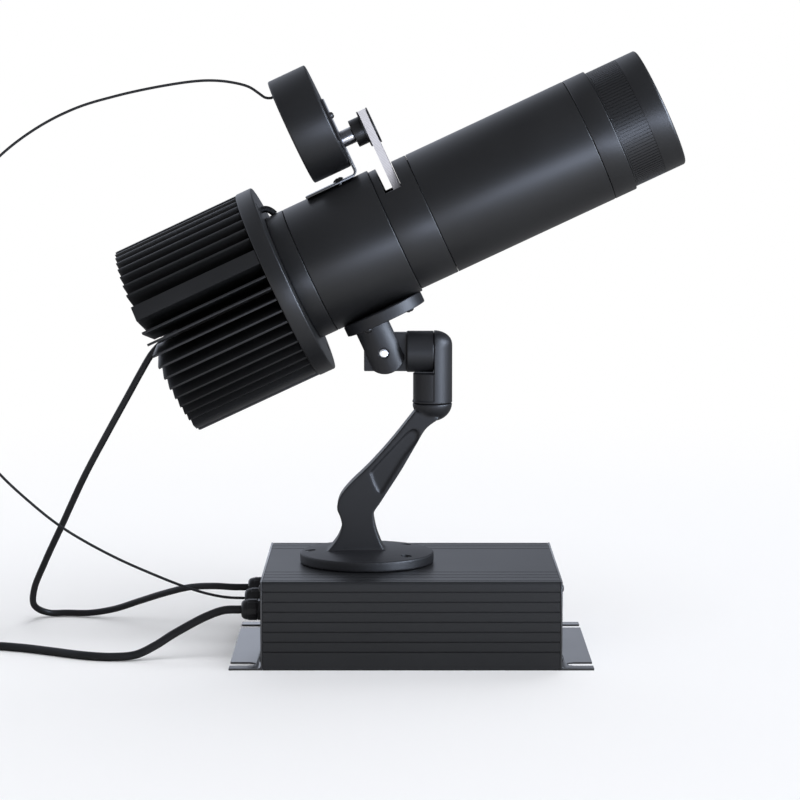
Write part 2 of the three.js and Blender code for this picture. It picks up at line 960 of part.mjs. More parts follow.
const ring = alongX(
  revolve(
    [
      [ringBore, ringFrontX - ringWidth],
      [ringRadius, ringFrontX - ringWidth],
      [ringRadius, ringFrontX - ringEdge],
      [ringRadius - ringEdge, ringFrontX],
      [ringBore, ringFrontX],
    ],
    finely,
  ),
);
light.add(piece("heatsink_ring", finish.anodised, solid(ring)));

// Lamp: the board on the heatsink's front, with the domed emitter on it.
const boardRadius = 30;
const boardThickness = 2;
const emitterRadius = 13;
const emitterStep = 2;
const emitterDome = 4;
const boardStart = finFrontX + gap;
const boardFront = boardStart + boardThickness;

const emitterOutline = arc(0, 0, 1, 0, 90, 3).map(([r, x]) => [
  emitterRadius * r,
  boardFront + emitterStep + emitterDome * x,
]);
const lampOutline = [
  [0, boardStart],
  [boardRadius, boardStart],
  [boardRadius, boardFront],
  [emitterRadius, boardFront],
  ...emitterOutline,
];
light.add(piece("lamp_board", finish.board, solid(alongX(revolve(lampOutline, plainly)))));

// Collar, the first of the turned rings, each with its front edge broken.
const seamEdge = 0.5;

function turned(outer, inner, from, to) {
  const outline = [
    [inner, from],
    [outer, from],
    [outer, to - seamEdge],
    [outer - seamEdge, to],
    [inner, to],
  ];
  return solid(alongX(revolve(outline, finely)));
}

light.add(
  piece(
    "collar",
    finish.anodised,
    turned(rearTubeRadius, rearTubeRadius - 2 * rearWall, collarStart, collarStart + collarLength),
  ),
);

// Rear tube: it carries the saddle below, the motor bracket above and a rib that seats the condenser lens.
const lensLip = 4;
const lensRib = 3;
const condenserInset = 11.3;
const condenserX = rearTubeStart + condenserInset;
const condenserRim = 4;
const condenserBulge = 14;
const footScrewInset = 24.3;
const footScrewSpread = 9;
const footScrewRadius = 1.5;
const footScrewX = goboStart - footScrewInset;
const footScrews = [[footScrewX, -footScrewSpread], [footScrewX, footScrewSpread]];
const drillEnd = rearTubeRadius / 2;

// An inner rib that ends a clearance behind a lens.
function rib(bore, lensStart) {
  const from = lensStart - gap - lensRib;
  return solid(alongX(tube(bore + seamEdge, bore - lensLip, from, lensStart - gap, finely)));
}

function rearTube() {
  const bore = rearTubeRadius - rearWall;
  let body = turned(rearTubeRadius, bore, rearTubeStart, rearTubeStart + rearTubeLength).add(
    rib(bore, condenserX),
  );
  for (const [x, y] of bracketScrews) {
    const drill = disc(
      bracketScrewRadius + gap,
      -rearTubeRadius - overrun,
      -drillEnd,
      coarsely,
    );
    body = body.subtract(solid(drill.translate(x, y, 0)));
  }
  for (const [x, y] of footScrews) {
    const drill = disc(footScrewRadius + gap, drillEnd, rearTubeRadius + overrun, coarsely);
    body = body.subtract(solid(drill.translate(x, y, 0)));
  }
  return body;
}

light.add(piece("rear_tube", finish.anodised, rearTube()));

// A lens: a rim between two faces, each flat or bulging as a parabola.
const lensSteps = 3;

function lens(radius, start, rim, rearBulge, frontBulge) {
  const face = (bulge) => {
    const steps = bulge > 0 ? lensSteps : 1;
    const points = [];
    for (let i = 0; i <= steps; i++) {
      const share = i / steps;
      points.push([radius * share, bulge * (1 - share * share)]);
    }
    return points;
  };
  const rear = face(rearBulge).map(([r, rise]) => [r, start - rise]);
  const front = face(frontBulge)
    .reverse()
    .map(([r, rise]) => [r, start + rim + rise]);
  return solid(alongX(revolve([...rear, ...front], plainly)));
}

light.add(
  piece(
    "condenser_lens",
    finish.glass,
    lens(rearTubeRadius - rearWall - gap, condenserX, condenserRim, 0, condenserBulge),
  ),
);

// Belt drive: the belt's teeth mesh with the small pulley above and the gobo wheel inside the tube.
const pitchInset = 0.25;
const toothHeight = 1.3;
const beltBack = 1.1;
const beltInset = 16.1;
const beltCentreX = goboStart + beltInset;
const sideFlange = 1.2;
const pulleyFlange = 15.1;
const wheelFlange = 29.4;
const toothRootShare = 0.54;
const toothTipShare = 0.36;
const trackRear = beltCentreX - beltWidth / 2 - gap;
const trackFront = beltCentreX + beltWidth / 2 + gap;
const wheelRear = trackRear - sideFlange;
const wheelFront = trackFront + sideFlange;

// A toothed wheel's outline. Its grooves are a clearance wider and deeper than the belt's teeth.
function toothedOutline(teeth, pitchRadius, phase) {
  const tip = pitchRadius - pitchInset - gap;
  const floor = pitchRadius - pitchInset - toothHeight - 2 * gap;
  const slack = gap / toothPitch;
  const wide = toothRootShare / 2 + slack;
  const narrow = toothTipShare / 2 + slack;
  const points = [];
  for (let i = 0; i < teeth; i++) {
    for (const [radius, share] of [[tip, -wide], [floor, -narrow], [floor, narrow], [tip, wide]]) {
      const angle = Math.PI / 2 + ((i + share + phase) / teeth) * turn;
      points.push([radius * Math.cos(angle), radius * Math.sin(angle)]);
    }
  }
  return points;
}

// A track between two side flanges.
function toothedWheel(teeth, pitchRadius, phase, flange) {
  const track = raised(toothedOutline(teeth, pitchRadius, phase), wheelFront - wheelRear);
  return solid(alongX(track).translate(wheelRear, 0, 0))
    .add(solid(alongX(disc(flange, wheelRear, trackRear, plainly))))
    .add(solid(alongX(disc(flange, trackFront, wheelFront, plainly))));
}

// The belt's pitch line: two arcs joined by straight runs that lean in towards the small pulley.
const sideLean = Math.asin((wheelPitchRadius - pulleyPitchRadius) / shaftRise);
const straightLength = shaftRise * Math.cos(sideLean);
const topArc = pulleyPitchRadius * (Math.PI / 2 - sideLean);
const bottomArc = wheelPitchRadius * (Math.PI / 2 + sideLean);
const halfLoop = topArc + straightLength + bottomArc;

// The [y, z] point that lies a given way outside the pitch line, at a length counted from the top.
function beltPoint(length, outside) {
  const round = (length + 2 * halfLoop) % (2 * halfLoop);
  const side = round <= halfLoop ? 1 : -1;
  const along = Math.min(round, 2 * halfLoop - round);
  const straightEnd = topArc + straightLength;
  if (along < topArc) {
    const angle = Math.PI / 2 - along / pulleyPitchRadius;
    const radius = pulleyPitchRadius + outside;
    return [side * radius * Math.cos(angle), shaftRise + radius * Math.sin(angle)];
  }
  const angle = sideLean - Math.max(0, along - straightEnd) / wheelPitchRadius;
  const radius = wheelPitchRadius + outside;
  const up = Math.max(0, straightEnd - along);
  return [
    side * (radius * Math.cos(angle) - up * Math.sin(sideLean)),
    radius * Math.sin(angle) + up * Math.cos(sideLean),
  ];
}

function driveBelt() {
  const step = (2 * halfLoop) / beltTeeth;
  const foot = -pitchInset;
  const tip = foot - toothHeight;
  const inner = [];
  for (let i = 0; i < beltTeeth; i++) {
    inner.push(beltPoint((i - toothRootShare / 2) * step, foot));
    inner.push(beltPoint((i - toothTipShare / 2) * step, tip));
    inner.push(beltPoint((i + toothTipShare / 2) * step, tip));
    inner.push(beltPoint((i + toothRootShare / 2) * step, foot));
  }
  const lean = sideLean / degree;
  const back = foot + beltBack;
  const outer = [
    ...arc(0, shaftRise, pulleyPitchRadius + back, lean, 180 - lean, 9),
    ...arc(0, 0, wheelPitchRadius + back, 180 - lean, 360 + lean, 18),
  ];
  const band = raised(outer, beltWidth, [inner]);
  return solid(alongX(band).translate(beltCentreX - beltWidth / 2, 0, 0));
}

light.add(piece("drive_belt", finish.belt, driveBelt()));

// Gobo section: the short tube with the slot that the belt runs through and the web that holds the bearing.
const beltSlotInset = 6.1;
const beltSlotLength = 14.1;
const beltSlotClearance = 1.8;
const beltSlotFloor = wheelFlange + beltSlotClearance;
const sleeveLength = 9;
const sleeveRadius = 22;
const bearingRadius = 27.5;
const bearingWidth = 6;
const bearingStandoff = 2;
const bearingRear = wheelFront + bearingStandoff;

function goboSection() {
  const bore = frontTubeRadius - frontWall;
  const slotRear = goboStart + beltSlotInset;
  const slot = block(
    slotRear,
    slotRear + beltSlotLength,
    -frontTubeRadius - overrun,
    frontTubeRadius + overrun,
    beltSlotFloor,
    frontTubeRadius + overrun,
  );
  const web = tube(
    bore + seamEdge,
    bearingRadius + gap,
    bearingRear,
    bearingRear + bearingWidth,
    finely,
  );
  return turned(frontTubeRadius, bore, goboStart, goboStart + goboSectionLength)
    .subtract(solid(slot))
    .add(solid(alongX(web)));
}

light.add(piece("gobo_section", finish.anodised, goboSection()));
const bearing = tube(
  bearingRadius,
  sleeveRadius + gap,
  bearingRear,
  bearingRear + bearingWidth,
  plainly,
);
light.add(piece("gobo_bearing", finish.steel, solid(alongX(bearing))));

// Gobo wheel: it turns in the bearing on its sleeve and carries the gobo glass in a recess at the rear.
const goboRadius = 19;
const goboAperture = 17;
const goboThickness = 1.1;
const goboSeat = wheelRear + goboThickness + 2 * gap;
const wheelPhase = beltTeeth % 2 ? 0.5 : 0;

function goboWheel() {
  const sleeve = alongX(disc(sleeveRadius, trackFront, wheelFront + sleeveLength, plainly));
  const aperture = alongX(
    disc(goboAperture, wheelRear - overrun, wheelFront + sleeveLength + overrun, plainly),
  );
  const recess = alongX(disc(goboRadius + gap, wheelRear - overrun, goboSeat, plainly));
  return toothedWheel(wheelTeeth, wheelPitchRadius, wheelPhase, wheelFlange)
    .add(solid(sleeve))
    .subtract(solid(aperture))
    .subtract(solid(recess));
}

light.add(piece("gobo_wheel", finish.anodised, goboWheel()));
const goboGlass = disc(goboRadius, goboSeat - gap - goboThickness, goboSeat - gap, plainly);
light.add(piece("gobo_glass", finish.glass, solid(alongX(goboGlass))));

// Motor: a flat drum gear motor, whose shaft stands off its centre.
const motorEdge = 1.2;
const bracketLegInset = 9.5;
const bracketLegX = goboStart - bracketLegInset;
const motorFrontX = bracketLegX - gap;
const motorRearX = motorFrontX - motorLength;
const shaftRadius = 6.7;
const shaftTipRadius = 3;
const shaftSink = 2;
const hubRadius = 11.3;
const hubStandoff = 10.2;
const hubRear = bracketLegX + bracketThickness + hubStandoff;
const shaftRear = motorFrontX - shaftSink;
const shaftStandout = 1;

function motorCase() {
  const drum = revolve(
    [
      [0, motorRearX],
      [motorRadius - motorEdge, motorRearX],
      [motorRadius, motorRearX + motorEdge],
      [motorRadius, motorFrontX - motorEdge],
      [motorRadius - motorEdge, motorFrontX],
      [0, motorFrontX],
    ],
    finely,
  );
  const shaftRoom = disc(shaftRadius + gap, shaftRear - gap, motorFrontX + overrun, plainly);
  return solid(alongX(drum).translate(0, 0, motorRise)).subtract(
    solid(alongX(shaftRoom).translate(0, 0, shaftRise)),
  );
}

light.add(piece("motor_case", finish.plastic, motorCase()));

const motorShaft = revolve(
  [
    [0, shaftRear],
    [shaftRadius, shaftRear],
    [shaftRadius, hubRear - gap],
    [shaftTipRadius, hubRear - gap],
    [shaftTipRadius, wheelFront + shaftStandout],
    [0, wheelFront + shaftStandout],
  ],
  coarsely,
);
const drive = new THREE.Group();
drive.position.z = shaftRise;
light.add(drive);
drive.add(piece("motor_shaft", finish.steel, solid(alongX(motorShaft))));

const pulleyBore = disc(
  shaftTipRadius + gap,
  hubRear - overrun,
  wheelFront + overrun,
  coarsely,
);
const pulley = toothedWheel(pulleyTeeth, pulleyPitchRadius, 0, pulleyFlange)
  .add(solid(alongX(disc(hubRadius, hubRear, trackRear, plainly))))
  .subtract(solid(alongX(pulleyBore)));
drive.add(piece("drive_pulley", finish.blackSteel, pulley));

// Motor bracket: a strip bent to an L, its foot on the rear tube and its leg before the motor.
const legRise = 35.8;
const legTop = shaftRise + legRise;
const bracketWidth = 36;
const bracketFootLength = 43.6;
const bracketFootRear = bracketLegX - bracketFootLength;
const bracketBend = 3;
const legHole = 8.5;
const footLow = rearTubeRadius + gap;
const footTop = footLow + bracketThickness;

function motorBracket() {
  const legFront = bracketLegX + bracketThickness;
  const bendX = bracketLegX - bracketBend;
  const bendZ = footTop + bracketBend;
  const outline = [
    [bracketFootRear, footLow],
    ...arc(bendX, bendZ, bracketBend + bracketThickness, -90, 0, 4),
    [legFront, legTop],
    [bracketLegX, legTop],
    ...arc(bendX, bendZ, bracketBend, 0, -90, 4),
    [bracketFootRear, footTop],
  ];
  const hole = disc(legHole, bracketLegX - overrun, legFront + overrun, plainly);
  let body = solid(alongY(raised(outline, bracketWidth), bracketWidth / 2)).subtract(
    solid(alongX(hole).translate(0, 0, shaftRise)),
  );
  for (const [x, y] of footScrews) {
    const drill = disc(footScrewRadius + gap, footLow - overrun, footTop + overrun, coarsely);
    body = body.subtract(solid(drill.translate(x, y, 0)));
  }
  return body;
}

light.add(piece("motor_bracket", finish.casting, motorBracket()));

// Foot screws: round heads on the bracket's foot.
const footHeadRadius = 4.2;
const footHeadHeight = 2.3;
const footScrewLength = 9;

footScrews.forEach(([x, y], i) => {
  const low = footTop + gap;
  const dome = arc(0, 0, 1, 0, 90, 3).map(([r, z]) => [
    footHeadRadius * r,
    low + footHeadHeight * z,
  ]);
  const outline = [
    [0, low - footScrewLength],
    [footScrewRadius, low - footScrewLength],
    [footScrewRadius, low],
    ...dome,
  ];
  const screw = solid(revolve(outline, coarsely)).translate([x, y, 0]);
  light.add(piece("foot_screw_" + (i + 1), finish.steel, screw));
});

// Barrel, with a rib that seats the rear objective lens, and the ring before it.
const objectiveInset = 67.9;
const objectiveX = barrelStart + objectiveInset;
const objectiveRim = 4;
const objectiveBulge = 7;
const barrelBore = frontTubeRadius - frontWall;

light.add(
  piece(
    "barrel",
    finish.anodised,
    turned(frontTubeRadius, barrelBore, barrelStart, barrelStart + barrelLength).add(
      rib(barrelBore, objectiveX),
    ),
  ),
);
light.add(
  piece(
    "objective_rear",
    finish.glass,
    lens(barrelBore - gap, objectiveX, objectiveRim, 0, objectiveBulge),
  ),
);
const focusWall = 3.2;
const focusBore = focusRadius - focusWall;
light.add(
  piece(
    "step_ring",
    finish.anodised,
    turned(frontTubeRadius, focusBore, stepStart, stepStart + stepRingLength),
  ),
);

// Focus ring: fine ridges run round its rear half, and its front edge is round.
const focusLip = 2.2;
const knurlStart = 4.1;
const knurlLength = 24.5;
const ridges = 48;
const ridgeHeight = 0.5;
const knurlSink = 0.6;

function focusRing() {
  const end = focusStart + focusLength;
  const edge = focusStart + knurlStart;
  const edgeEnd = edge + knurlLength;
  const floor = focusRadius - knurlSink;
  const body = revolve(
    [
      [focusBore, focusStart],
      [focusRadius, focusStart],
      [focusRadius, edge],
      [floor, edge],
      [floor, edgeEnd],
      [focusRadius, edgeEnd],
      ...arc(focusRadius - focusLip, end - focusLip, focusLip, 0, 90, 3),
      [focusBore, end],
    ],
    finely,
  );
  const outline = [];
  for (let i = 0; i < 2 * ridges; i++) {
    const radius = floor + (i % 2 ? ridgeHeight : -ridgeHeight);
    const angle = (i / (2 * ridges)) * turn;
    outline.push([radius * Math.cos(angle), radius * Math.sin(angle)]);
  }
  const hole = arc(0, 0, (floor + focusBore) / 2, 360, 360 / plainly, plainly - 1);
  const knurl = raised(outline, knurlLength - 2 * gap, [hole]);
  return solid(alongX(body)).add(solid(alongX(knurl).translate(edge + gap, 0, 0)));
}

light.add(piece("focus_ring", finish.anodised, focusRing()));

// Focus sleeve: it slides in the step ring and seats the front objective lens by a step in its bore.
const sleeveWall = 2.2;
const sleeveStep = 0.8;
const sleeveReach = 22;
const frontLensInset = 28.9;
const frontLensX = focusStart + frontLensInset;
const frontLensRim = 4;
const frontLensBulge = 7;
const cellRadius = focusBore - gap;
const cellBore = cellRadius - sleeveWall;
const cellFront = frontLensX + frontLensRim + gap;

const focusSleeve = revolve(
  [
    [cellBore, focusStart - sleeveReach],
    [cellRadius, focusStart - sleeveReach],
    [cellRadius, cellFront],
    [cellBore + sleeveStep, cellFront],
    [cellBore + sleeveStep, frontLensX - gap],
    [cellBore, frontLensX - gap],
  ],
  plainly,
);
light.add(piece("focus_sleeve", finish.anodised, solid(alongX(focusSleeve))));
light.add(
  piece(
    "objective_front",
    finish.glass,
    lens(cellBore + sleeveStep - gap, frontLensX, frontLensRim, 0, frontLensBulge),
  ),
);

// A round cord along a line of points, from one length of it to another.
const cordSides = 8;

function cordPiece(curve, diameter, from, to, steps) {
  const whole = curve.getLength();
  const points = [];
  const samples = 4 * steps;
  for (let i = 0; i <= samples; i++) {
    points.push(curve.getPointAt(Math.min(1, (from + ((to - from) * i) / samples) / whole)));
  }
  const round = new THREE.Shape(
    arc(0, 0, diameter / 2, 0, 360 - 360 / cordSides, cordSides - 1).map(
      ([x, y]) => new THREE.Vector2(x, y),
    ),
  );
  return solid(
    new THREE.ExtrudeGeometry(round, {
      steps,
      bevelEnabled: false,
      extrudePath: new THREE.CatmullRomCurve3(points),
    }),
  );
}

// A point of the head, given in its own frame, where it stands when the lamp is at rest.
function headPoint(x, y, z) {
  return head.position
    .clone()
    .add(new THREE.Vector3(x, y, z).applyEuler(head.rotation));
}

const toPoints = (list) => list.map(([x, y, z]) => new THREE.Vector3(x, y, z));
const glandX = -boxLength / 2 - glandReach - gap;

// A cord that crosses the three joints is three stretches, with a clearance between their ends.
function crossing(name, curve, diameter, cuts, counts) {
  ["upper", "middle", "lower"].forEach((part, i) => {
    const from = cuts[i] + (i > 0 ? gap / 2 : 0);
    const to = cuts[i + 1] - (i < 2 ? gap / 2 : 0);
    const body = cordPiece(curve, diameter, from, to, counts[i]);
    root.add(piece(name + "_" + part, finish.rubber, body));
  });
}

// Lamp cord: out of the heatsink's rear, down to the floor behind the box's left end and up to its gland.
const lampRoute = toPoints([
  [-202.8, 0, 247],
  [-209.4, 0.5, 239.5],
  [-218.2, 1, 224.9],
  [-227.4, 3, 208.5],
  [-246.4, 10, 175],
  [-267, 22, 137.9],
  [-289.4, 45, 92.8],
  [-307.1, 68, 57.7],
  [-319.8, 91, 29.7],
  [-322, 110, 12],
  [-312, 122, 4],
  [-296, 124.5, 3.4],
  [-276, 121, 4],
  [-254, 113, 9],
  [-230.8, 100, 18.5],
  [-208, 84, 28.2],
  [-185.5, 68, 36.2],
  [-164.8, 55, 39.6],
  [-146.5, glandSpacing, glandHeight],
  [glandX, glandSpacing, glandHeight],
]);
const lampCurve = new THREE.CatmullRomCurve3([
  headPoint(lampExitX - gap, 0, axisHeight),
  headPoint(lampExitX - lampCordDiameter, 0, axisHeight),
  ...lampRoute,
]);
const lampCuts = [0, 118, 222, lampCurve.getLength()];
crossing("lamp_cord", lampCurve, lampCordDiameter, lampCuts, [9, 7, 21]);

// Motor wire: out of the motor's rear, in a wide loop beside the lamp, and down to the middle gland.
const wireRise = 31.7;
const wireRoute = toPoints([
  [-116.5, 0, 445.2],
  [-121.5, 0, 448.6],
  [-129.6, 0, 453.8],
  [-144.8, 0, 457.6],
  [-160.1, 0, 458.8],
  [-175.6, 0, 457.9],
  [-206, 0, 453.1],
  [-236.6, 0, 446.3],
  [-267.3, 0, 437.1],
  [-298, 0, 421.9],
  [-329, 0, 399],
  [-360, 0, 365],
  [-380, 0, 322],
  [-387.5, 0, 275],
  [-382, 0, 227],
  [-363.5, 0, 182],
  [-336, 0, 144.5],
  [-305.8, 0, 115.6],
  [-285.8, 0, 99.6],
  [-264.3, 0, 86],
  [-236.4, 0, 71.2],
  [-208.5, 0, 58.8],
  [-187.4, 0, 50.3],
  [-166.6, 0, 43.6],
  [-150, 0, 40.4],
  [glandX, 0, glandHeight],
]);
const wireHeight = axisHeight + motorRise + wireRise;
const wireCurve = new THREE.CatmullRomCurve3([
  headPoint(motorRearX - gap, 0, wireHeight),
  headPoint(motorRearX - gap - motorCordDiameter, 0, wireHeight),
  ...wireRoute,
]);
const wireCuts = [0, 236, 440, wireCurve.getLength()];
crossing("motor_wire", wireCurve, motorCordDiameter, wireCuts, [16, 12, 26]);

// Mains lead: from the front gland down to the floor, and along it to the coil.
const coilX = -394;
const coilY = 32;
const coilOuter = 45;
const coilPitch = 7.2;
const coilDip = 1.2;
const coilLow = 3.5;
const turnsIn = 2.5;
const turnsOut = 2.25;
const coilSteps = 24;
const coilSides = 6;

const mainsRoute = toPoints([
  [glandX, -glandSpacing, glandHeight],
  [-149.2, -glandSpacing, 39.2],
  [-163, -50, 34.5],
  [-176.6, -52, 27.8],
  [-190.2, -54, 20.3],
  [-203.8, -56, 11.9],
  [-219.1, -58, 5],
  [-237.6, -59, coilLow],
  [-258.9, -54, coilLow],
  [-289.3, -37, coilLow],
  [-312.2, -24.5, coilLow],
  [-336, -16, coilLow],
  [-362, coilY - coilOuter, coilLow],
  [coilX + mainsCordDiameter + gap, coilY - coilOuter, coilLow],
]);
const mainsCurve = new THREE.CatmullRomCurve3(mainsRoute);
root.add(
  piece(
    "mains_lead",
    finish.rubber,
    cordPiece(mainsCurve, mainsCordDiameter, 0, mainsCurve.getLength(), 20),
  ),
);

// Mains coil: the slack, wound inwards on the floor, up a layer where the spiral turns back, and outwards.
function coilPoint(turns) {
  const climb = turnsIn + 1 / 2;
  const inside = coilOuter - turnsIn * coilPitch;
  const over = Math.min(Math.max((turns - turnsIn) * 2, 0), 1);
  let radius = coilOuter - turns * coilPitch;
  if (turns > turnsIn) radius = inside - coilDip * Math.sin(over * Math.PI);
  if (turns > climb) radius = inside + (turns - climb) * coilPitch;
  const angle = -Math.PI / 2 - turns * turn;
  return new THREE.Vector3(
    coilX + radius * Math.cos(angle),
    coilY + radius * Math.sin(angle),
    coilLow + coilPitch * over,
  );
}

const allTurns = turnsIn + 1 / 2 + turnsOut;
const coilEnd = coilPoint(allTurns);
const coilLine = [new THREE.Vector3(coilX + mainsCordDiameter, coilY - coilOuter, coilLow)];
for (let i = 0; i <= allTurns * coilSteps; i++) coilLine.push(coilPoint(i / coilSteps));
coilLine.push(coilEnd.clone().setY(coilEnd.y + mainsCordDiameter));

// The least distance between parts of the line that are over half a loop apart, less the cord.
function selfGap(line, diameter) {
  let least = Infinity;
  line.forEach((p, i) => {
    for (let j = i + coilSteps / 2; j < line.length; j++) {
      least = Math.min(least, p.distanceTo(line[j]));
    }
  });
  return least - diameter;
}

console.log("mains coil, least gap to itself:", selfGap(coilLine, mainsCordDiameter).toFixed(2));

// An unbroken tube of rings that stand square to the line, capped at its ends.
function ringTube(line, radius, sides) {
  const corners = [];
  const faces = [];
  line.forEach((p, i) => {
    const before = line[Math.max(i - 1, 0)];
    const after = line[Math.min(i + 1, line.length - 1)];
    const ahead = after.clone().sub(before).normalize();
    const across = new THREE.Vector3().crossVectors(ahead, axisZ).normalize();
    const up = new THREE.Vector3().crossVectors(across, ahead);
    for (let k = 0; k < sides; k++) {
      const angle = (k / sides) * turn;
      const corner = p
        .clone()
        .addScaledVector(across, radius * Math.cos(angle))
        .addScaledVector(up, radius * Math.sin(angle));
      corners.push(corner.x, corner.y, corner.z);
      const next = (k + 1) % sides;
      if (i > 0) {
        const [a, b] = [(i - 1) * sides + k, (i - 1) * sides + next];
        const [c, d] = [i * sides + next, i * sides + k];
        faces.push(a, c, b, a, d, c);
      }
    }
  });
  const last = (line.length - 1) * sides;
  for (let k = 1; k < sides - 1; k++) {
    faces.push(0, k, k + 1, last, last + k + 1, last + k);
  }
  const geometry = new THREE.BufferGeometry();
  geometry.setAttribute("position", new THREE.Float32BufferAttribute(corners, 3));
  geometry.setIndex(faces);
  return geometry;
}

root.add(
  piece(
    "mains_coil",
    finish.rubber,
    solid(ringTube(coilLine, mainsCordDiameter / 2, coilSides)),
  ),
);

// Mains plug: a plain moulded two-pin plug, lying at the end of the coil with its relief on the cord.
const plugWidth = 34;
const plugLength = 36;
const plugCorner = 3;
const reliefLength = 36;
const reliefTip = 3.7;
const reliefRoot = 6.4;
const pinSpacing = 19;
const pinRadius = 2.4;
const pinLength = 19;
const pinSink = 6;
const plugHalfHeight = coilLow + coilPitch - gap;
const plugStart = coilLine[coilLine.length - 1].y + gap;
const plugFace = plugStart + reliefLength + plugLength;

const relief = revolve(
  [
    [0, 0],
    [reliefTip, 0],
    [reliefRoot, reliefLength + overrun],
    [0, reliefLength + overrun],
  ],
  coarsely,
);
const plugSection = [
  ...arc(plugWidth / 2 - plugCorner, plugHalfHeight - plugCorner, plugCorner, 0, 90, 3),
  ...arc(plugCorner - plugWidth / 2, plugHalfHeight - plugCorner, plugCorner, 90, 180, 3),
  ...arc(plugCorner - plugWidth / 2, plugCorner - plugHalfHeight, plugCorner, 180, 270, 3),
  ...arc(plugWidth / 2 - plugCorner, plugCorner - plugHalfHeight, plugCorner, 270, 360, 3),
];
const plugBody = raised(plugSection, plugLength);
let plug = solid(alongY(relief.rotateX(Math.PI), plugStart)).add(solid(alongY(plugBody, plugFace)));
for (const [side, name] of [[-1, "left"], [1, "right"]]) {
  const x = (side * pinSpacing) / 2;
  const socket = disc(pinRadius + gap, -overrun, pinSink + gap, coarsely);
  plug = plug.subtract(solid(alongY(socket, plugFace).translate(x, 0, 0)));
  const pin = alongY(disc(pinRadius, 0, pinSink + pinLength, coarsely), plugFace + pinLength);
  pin.translate(coilEnd.x + x, 0, coilEnd.z);
  root.add(piece("plug_pin_" + name, finish.steel, solid(pin)));
}
root.add(piece("mains_plug", finish.rubber, plug.translate([coilEnd.x, 0, coilEnd.z])));

// Wire loop: the short black lead that bridges the ring and the collar on top.
// Its route is counted from the ring's front and from the collar's top.
const loopDiameter = 3;
const loopRoute = [[0.3, 6], [1.7, 6], [4.9, 6.5], [8.1, 5.6], [10.3, 3.6], [10.9, 1.8], [10.9, 0.4]];
const loopCurve = new THREE.CatmullRomCurve3(
  toPoints(loopRoute.map(([reach, rise]) => [ringFrontX + reach, 0, rearTubeRadius + rise])),
);
const loop = cordPiece(loopCurve, loopDiameter, 0, loopCurve.getLength(), 6);
light.add(piece("wire_loop", finish.rubber, loop));

export default root;
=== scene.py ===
import math

import bmesh
import bpy
import numpy as np
from mathutils import Matrix, Vector


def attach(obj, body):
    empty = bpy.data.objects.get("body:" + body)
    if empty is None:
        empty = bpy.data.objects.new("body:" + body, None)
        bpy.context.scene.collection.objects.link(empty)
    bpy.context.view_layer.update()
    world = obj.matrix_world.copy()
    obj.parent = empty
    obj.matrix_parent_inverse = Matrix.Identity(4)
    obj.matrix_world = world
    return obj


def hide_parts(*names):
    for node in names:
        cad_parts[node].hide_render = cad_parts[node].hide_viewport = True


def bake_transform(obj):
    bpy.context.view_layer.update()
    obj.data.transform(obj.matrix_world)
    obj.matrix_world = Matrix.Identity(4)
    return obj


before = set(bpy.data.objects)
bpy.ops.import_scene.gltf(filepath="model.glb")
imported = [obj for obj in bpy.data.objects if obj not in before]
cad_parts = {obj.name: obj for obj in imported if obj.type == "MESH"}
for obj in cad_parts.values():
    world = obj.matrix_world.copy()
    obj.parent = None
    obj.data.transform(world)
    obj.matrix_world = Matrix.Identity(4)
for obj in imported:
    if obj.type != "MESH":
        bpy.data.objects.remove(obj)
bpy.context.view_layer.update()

# Camera: it stands just over two metres in front of the box, a little above the middle, and looks down
# slightly, through a long lens.
mm = 0.001
camera_place = (-8.9, -2142.5, 444.5)
camera_pitch = 6.45


def added(name, data):
    """A new object in the scene, at the origin."""
    made = bpy.data.objects.new(name, data)
    bpy.context.scene.collection.objects.link(made)
    return made


view = bpy.data.cameras.new("view")
view.lens = 120
view.sensor_width = 36
view.clip_start = 0.1
view.clip_end = 60
camera = added("camera", view)
camera.location = Vector(camera_place) * mm
camera.rotation_euler = (math.radians(90 - camera_pitch), 0, 0)
bpy.context.scene.camera = camera


# Cords: round jackets of soft black plastic. The lamp cord and the thinner motor wire leave the head and go
# down to the glands of the box. Each is three stretches, one for each joint of the arm that it crosses.
class Wire:
    """An output socket of a node tree. A sum written on it adds the Math nodes."""

    def __init__(self, tree, socket):
        self.tree = tree
        self.socket = socket

    def reckon(self, operation, *values):
        return put(self.tree, "ShaderNodeMath", {"operation": operation}, dict(enumerate(values)))

    def __add__(self, other):
        return self.reckon("ADD", self, other)

    def __sub__(self, other):
        return self.reckon("SUBTRACT", self, other)

    def __rsub__(self, other):
        return self.reckon("SUBTRACT", other, self)

    def __mul__(self, other):
        return self.reckon("MULTIPLY", self, other)

    def __truediv__(self, other):
        return self.reckon("DIVIDE", self, other)

    def __mod__(self, other):
        return self.reckon("FLOORED_MODULO", self, other)

    __radd__ = __add__
    __rmul__ = __mul__


def put(tree, kind, settings=None, sockets=None, output=0):
    """A new node with its settings, and with its sockets set to values or linked to wires."""
    node = tree.nodes.new(kind)
    for key, value in (settings or {}).items():
        setattr(node, key, value)
    for key, value in (sockets or {}).items():
        if isinstance(value, Wire):
            tree.links.new(value.socket, node.inputs[key])
        else:
            node.inputs[key].default_value = value
    return Wire(tree, node.outputs[output])


def noise(tree, place, scale, detail=3, stretch=None, turn=(0, 0, 0)):
    """Noise in the piece's own space, stretched along an axis where a tool or a die has left its lines."""
    if stretch:
        place = put(tree, "ShaderNodeMapping", {}, {0: place, "Rotation": turn, "Scale": stretch})
    return put(tree, "ShaderNodeTexNoise", {}, {"Vector": place, "Scale": scale, "Detail": detail})


def shade(tree, factor, dark, light):
    """A colour between two, given as linear red, green and blue."""
    sockets = {0: factor, 6: (*dark, 1), 7: (*light, 1)}
    return put(tree, "ShaderNodeMix", {"data_type": "RGBA"}, sockets, output=2)


